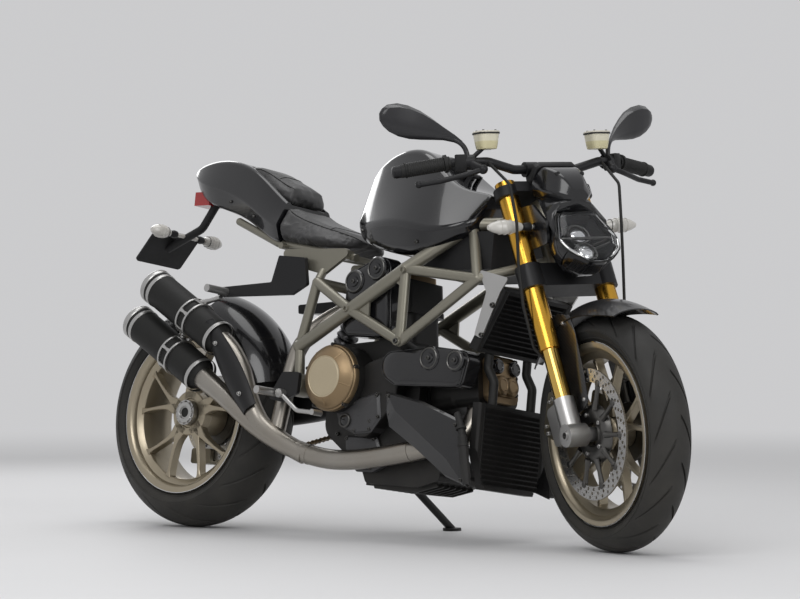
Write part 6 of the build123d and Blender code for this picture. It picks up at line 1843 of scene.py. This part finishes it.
# Front mudguard
class MOTO_OT_mudguard(bpy.types.Operator):
    """Thin carbon arch over the front tyre with a flat panel inside each fork leg"""
    bl_idname = "moto.mudguard"
    bl_label = "Mudguard"

    def execute(self, context):
        shape = Shape()
        skins = []
        for lift in (0.0, -3.0):
            rows = []
            for k in range(33):
                a = math.radians(-56 + 80 * k / 32)
                fade = 1 - 0.55 * max(0.0, (k - 22) / 10) ** 2
                row = []
                for n in range(17):
                    w = n / 8 - 1
                    drop = 40 * fade * (1 - math.sqrt(max(0.0, 1 - (0.92 * w) ** 2))) / 0.61
                    radius = 337.5 + lift - drop
                    row.append(FRONT_AXLE + Vector((
                        math.sin(a) * radius, (77 + lift) * w * (0.75 + 0.25 * fade),
                        math.cos(a) * radius)) * MM)
                rows.append(row)
            shape.grid(rows)
            skins.append(rows)
        outer, inner = skins
        shape.grid([[row[0] for row in outer], [row[0] for row in inner]])
        shape.grid([[row[-1] for row in outer], [row[-1] for row in inner]])
        shape.grid([outer[0], inner[0]])
        shape.grid([outer[-1], inner[-1]])
        panel = [
            (-12, 322), (40, 330), (92, 300), (96, 250), (84, 150), (70, 74), (44, 62), (4, 66), (-12, 110)]
        for side in (-1, 1):
            base = fork(0, side * 71.5 if side > 0 else -75.0, 0)
            flat = [(z * MM, x * MM) for x, z in panel]
            shape.plate(flat, base, STEER_UP, STEER_AHEAD, 0.0035, 0, 0.0009)
            for x, z in ((14, 296), (16, 84)):
                shape.bolt(fork(x + 40, side * 75.2, z), ACROSS * side, 0.0045, 0.004, 1)
        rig.replaces(
            shape.make("front_mudguard", "front_end", "carbon", ["carbon", "silver"], 50), "front_fender")
        return {"FINISHED"}


# Trim on the bodywork and the wheels
# Fastener heads on both sides: node, place in X and Z, radius
FASTENERS = [
    ("fuel_tank", 177, 772, 6), ("fuel_tank", -70, 820, 5), ("tail_fairing", -520, 880, 5),
    ("tail_fairing", -640, 930, 5), ("airbox", 330, 724, 5), ("subframe", -250, 740, 6),
    ("peg_brackets", -256, 372, 7), ("frame", -209, 392, 12), ("frame", 152, 507, 9),
]
# Hollow bosses on both sides of the frame: place in X and Z, radius
BOSSES = [(152, 507, 12), (-209, 385, 14), (-34, 594, 9), (154, 695, 9)]
LIP_RADIUS = 0.2311
VALVE_TURN = 0.3


class MOTO_OT_trim(bpy.types.Operator):
    """Bright rim lips, valve stems, the rear hub's nut, fastener heads and the frame's bosses"""
    bl_idname = "moto.trim"
    bl_label = "Trim"

    def execute(self, context):
        for body, axle, width in (
                ("front_wheel", FRONT_AXLE, FRONT_TYRE[2]), ("rear_wheel", REAR_AXLE, REAR_TYRE[2])):
            lips = Shape()
            for side in (-1, 1):
                ring = []
                for k in range(120):
                    a = math.tau * k / 120
                    ring.append(axle + Vector((
                        math.sin(a), 0, math.cos(a))) * LIP_RADIUS + ACROSS * side * (width / 2 + 0.0088))
                lips.tube(ring, 0.0013, 8, closed=True)
            stem = Vector((math.sin(VALVE_TURN), 0, math.cos(VALVE_TURN)))
            lips.lathe(
                in_mm([(5, 0), (5, 10), (3.6, 13), (3.6, 28), (4.4, 29), (4.4, 37), (0.1, 38)]),
                axle + stem * 0.206, -stem, 16, 1)
            lips.make(body + "_lips", body, "wheel_gold", ["chrome", "hose"])
        hub = Shape()
        met, _ = touch("rear_axle", REAR_AXLE + Vector((0.020, -0.5, 0)), ACROSS)
        face = met - Vector((0.020, 0, 0))
        hub.lathe(in_mm([(17, -12), (17.5, 3.5), (19, 5), (26.5, 5), (30, 3), (30.5, -4)]), face, RIGHT, 48)
        # Black disc just inside the nut's bore: painted shade for the hollow axle
        hub.lathe(in_mm([(0.1, -0.6), (17.2, -0.6), (17.2, -2)]), face, RIGHT, 32, 1)
        for away in spokes(12):
            notch = [face + away * r + RIGHT * out for r, out in in_mm([(28.5, 3), (31.2, 2.2), (31.8, -4)])]
            hub.tube(notch, 0.0030, 8)
        hub.make("rear_hub_nut", "rear_wheel", "silver", ["silver", "hose"])
        heads = Shape()
        for node, x, z, radius in FASTENERS:
            for side in (-1, 1):
                spot, normal = touch(node, mm(x, side * 400, z), ACROSS * -side)
                heads.bolt(spot, normal, radius * MM * 0.8, radius * MM)
        for x, z, radius in BOSSES:
            for side in (-1, 1):
                spot, _ = touch("frame", mm(x, side * 400, z), ACROSS * -side)
                r = radius * MM
                out = ACROSS * side
                heads.lathe(
                    [
                        (0.55 * r, -0.004), (0.55 * r, 0.003), (0.66 * r, 0.0045), (0.92 * r, 0.0045),
                        (r, 0.003), (r, -0.008)],
                    spot, out, 28, 1)
                # Black disc a few millimetres down in the boss: painted shade for its hollow
                heads.lathe([(0.0001, -0.003), (0.56 * r, -0.003), (0.56 * r, -0.004)], spot, out, 20, 2)
        heads.make("body_screws", "chassis", "silver", ["dark_steel", "frame_paint", "hose"])
        return {"FINISHED"}


# Finishes of the solids
class MOTO_OT_finishes(bpy.types.Operator):
    """Finish of every solid, by its slot in the record"""
    bl_idname = "moto.finishes"
    bl_label = "Finishes"

    def execute(self, context):
        for part in frame["record"]["subparts"]:
            node = frame["nodes"][part["node"]]
            look = finish(part["material_slot"])
            if not node.material_slots:
                node.data.materials.append(look)
            for slot in node.material_slots:
                slot.material = look
        return {"FINISHED"}


# Floor, light and camera
# Camera as fitted to the photograph: yaw, pitch and roll, its place in millimetres,
# and where the rear axle stood
VIEW_TURN = (0.716403, -0.015325, -0.002364)
VIEW_PLACE = (4653.86, -5283.73, 535.16)
FIT_LIFT = Matrix.Translation((0, 0, 0.00156681))
FIT_AXLE = FIT_LIFT @ Matrix.Rotation(-LEAN, 4, "X") @ Matrix.Rotation(PITCH, 4, "Y") @ REAR_AXLE


def seen_rays(tree):
    """One for rays from the camera, from gloss and through glass."""
    path = tree.nodes.new("ShaderNodeLightPath")
    either = math_node(tree, "MAXIMUM", path.outputs["Is Camera Ray"], path.outputs["Is Transmission Ray"])
    return math_node(tree, "MAXIMUM", either, path.outputs["Is Glossy Ray"])


class MOTO_OT_stage(bpy.types.Operator):
    """Pale floor that passes into the background far out, soft lamps, even world and the camera at the photograph's
    angle
    """
    bl_idname = "moto.stage"
    bl_label = "Stage"

    def execute(self, context):
        stage = settings(context, "stage")
        scene = context.scene
        scene.view_settings.view_transform = "Standard"
        self.floor(stage)
        self.world(scene, stage)
        self.lamps(stage)
        self.camera(scene, stage)
        return {"FINISHED"}

    def floor(self, stage):
        """Large pale floor that passes into the background far out."""
        material, tree, shader, place = shader_of("studio_floor")
        tone = stage.floor[:]
        node = use(
            tree, "drift", place, colour=(*tone, 1), other_colour=(*[c * 0.97 for c in tone], 1), scale=1.2,
            roughness=0.7, spread=0.05)
        tree.links.new(node.outputs["Colour"], shader.inputs["Base Color"])
        tree.links.new(node.outputs["Roughness"], shader.inputs["Roughness"])
        reach = tree.nodes.new("ShaderNodeVectorMath")
        reach.operation = "LENGTH"
        tree.links.new(place, reach.inputs[0])
        far = tree.nodes.new("ShaderNodeMapRange")
        far.interpolation_type = "SMOOTHSTEP"
        far.inputs["From Min"].default_value = 2.2
        far.inputs["From Max"].default_value = 9.0
        tree.links.new(reach.outputs["Value"], far.inputs["Value"])
        glow = tree.nodes.new("ShaderNodeEmission")
        glow.inputs["Color"].default_value = (*stage.backdrop, 1)
        mix = tree.nodes.new("ShaderNodeMixShader")
        share = math_node(tree, "MULTIPLY", far.outputs["Result"], seen_rays(tree))
        tree.links.new(share, mix.inputs[0])
        tree.links.new(shader.outputs[0], mix.inputs[1])
        tree.links.new(glow.outputs[0], mix.inputs[2])
        tree.links.new(mix.outputs[0], tree.nodes["Material Output"].inputs["Surface"])
        sweep = Shape()
        sweep.grid([[Vector((x * 4.0, y * 4.0, 0)) for x in range(-20, 21)] for y in range(-20, 21)])
        mesh = bpy.data.meshes.new("studio_floor")
        mesh.from_pydata([tuple(p) for p in sweep.points], [], sweep.faces)
        mesh.materials.append(material)
        floor = bpy.data.objects.new("studio_floor", mesh)
        bpy.context.scene.collection.objects.link(floor)
        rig.stage(floor)

    def world(self, scene, stage):
        """Even light, with the pale background where the camera, metal and glass look past the floor."""
        world = bpy.data.worlds.new("studio_world")
        scene.world = world
        world.use_nodes = True
        tree = world.node_tree
        tree.nodes.clear()
        made = tree.nodes.new("ShaderNodeOutputWorld")
        light = tree.nodes.new("ShaderNodeBackground")
        light.inputs["Color"].default_value = (1, 1, 1, 1)
        light.inputs["Strength"].default_value = stage.world
        seen = tree.nodes.new("ShaderNodeBackground")
        seen.inputs["Color"].default_value = (*stage.backdrop, 1)
        seen.inputs["Strength"].default_value = 1.0
        mix = tree.nodes.new("ShaderNodeMixShader")
        tree.links.new(seen_rays(tree), mix.inputs[0])
        tree.links.new(light.outputs[0], mix.inputs[1])
        tree.links.new(seen.outputs[0], mix.inputs[2])
        tree.links.new(mix.outputs[0], made.inputs[0])

    def lamps(self, stage):
        """Large soft lamps: above, to the right and behind."""
        rows = [
            ("key", (1.6, -3.4, 3.4), (0, 0, 0.55), 2.6, 1.0),
            ("fill", (4.2, -1.0, 1.8), (0.3, 0, 0.6), 2.2, 0.55)]
        rows += [
            ("top", (-0.3, 0.2, 4.2), (0, 0, 0.5), 3.0, 0.75),
            ("rear", (-3.6, 1.6, 2.4), (-0.4, 0, 0.6), 2.0, 0.55)]
        for name, place, aim, size, share in rows:
            lamp_data = bpy.data.lights.new(name, "AREA")
            lamp_data.shape = "DISK"
            lamp_data.size = size
            lamp_data.energy = stage.light * share
            holder = bpy.data.objects.new(name, lamp_data)
            holder.location = place
            holder.rotation_euler = (Vector(aim) - Vector(place)).to_track_quat("-Z", "Y").to_euler()
            bpy.context.scene.collection.objects.link(holder)

    def camera(self, scene, stage):
        """Camera at the photograph's angle."""
        data = bpy.data.cameras.new("camera")
        data.lens = stage.lens
        data.sensor_width = 36.0
        data.clip_end = 200.0
        holder = bpy.data.objects.new("camera", data)
        yaw, pitch, roll = VIEW_TURN
        look = Vector((-math.sin(yaw) * math.cos(pitch), math.cos(yaw) * math.cos(pitch), -math.sin(pitch)))
        right = Vector((math.cos(yaw), math.sin(yaw), 0))
        up = right.cross(look)
        right, up = right * math.cos(roll) + up * math.sin(roll), up * math.cos(roll) - right * math.sin(roll)
        moved = place_of("chassis") @ REAR_AXLE - FIT_AXLE
        turn = Matrix((right, up, -look)).transposed().to_4x4()
        holder.matrix_world = Matrix.Translation(mm(*VIEW_PLACE) + Vector((moved.x, moved.y, 0))) @ turn
        scene.collection.objects.link(holder)
        scene.camera = holder


STEPS = (
    "finishes", "tyres", "wheels", "brakes", "drive_chain", "seat", "lamps", "cockpit", "engine", "panels",
    "coolers",
)
STEPS += ("exhaust", "mudguard", "trim", "stage")


class MOTO_PT_panel(bpy.types.Panel):
    """Steps that dress the motorcycle"""
    bl_label = "Motorcycle"
    bl_idname = "MOTO_PT_panel"
    bl_space_type = "VIEW_3D"
    bl_region_type = "UI"
    bl_category = "Motorcycle"

    def draw(self, context):
        for step in STEPS:
            self.layout.operator("moto." + step)
            group = getattr(context.scene, "motorcycle_" + step, None)
            for title in group.bl_rna.properties.keys() if group else ():
                if title not in ("rna_type", "name"):
                    self.layout.prop(group, title)


GROUPS = {
    "tyres": TyreSettings, "seat": SeatSettings, "brakes": BrakeSettings, "chain": ChainSettings,
    "coolers": CoolerSettings, "stage": StageSettings,
}
OPERATORS = (
    MOTO_OT_finishes, MOTO_OT_tyres, MOTO_OT_wheels, MOTO_OT_brakes, MOTO_OT_drive_chain, MOTO_OT_seat,
    MOTO_OT_lamps,
)
OPERATORS += (
    MOTO_OT_cockpit, MOTO_OT_engine, MOTO_OT_panels, MOTO_OT_coolers, MOTO_OT_exhaust, MOTO_OT_mudguard,
    MOTO_OT_trim,
)
OPERATORS += (MOTO_OT_stage,)


def register():
    """Add the settings, the steps and the panel."""
    for kind in (*GROUPS.values(), *OPERATORS, MOTO_PT_panel):
        bpy.utils.register_class(kind)
    for name, kind in GROUPS.items():
        setattr(bpy.types.Scene, "motorcycle_" + name, PointerProperty(type=kind))


def unregister():
    """Take the panel, the steps and the settings out again."""
    for name in GROUPS:
        delattr(bpy.types.Scene, "motorcycle_" + name)
    for kind in reversed((*GROUPS.values(), *OPERATORS, MOTO_PT_panel)):
        bpy.utils.unregister_class(kind)


def main():
    """Run every step in order and write both boxes."""
    register()
    for step in STEPS:
        getattr(bpy.ops.moto, step)()
    sizes = {"cad": [list(corner) for corner in CAD_BOX], "visual": [list(corner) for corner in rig.bounds()]}
    with open("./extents.json", "w") as out:
        json.dump(sizes, out)


if __name__ == "__main__":
    main()
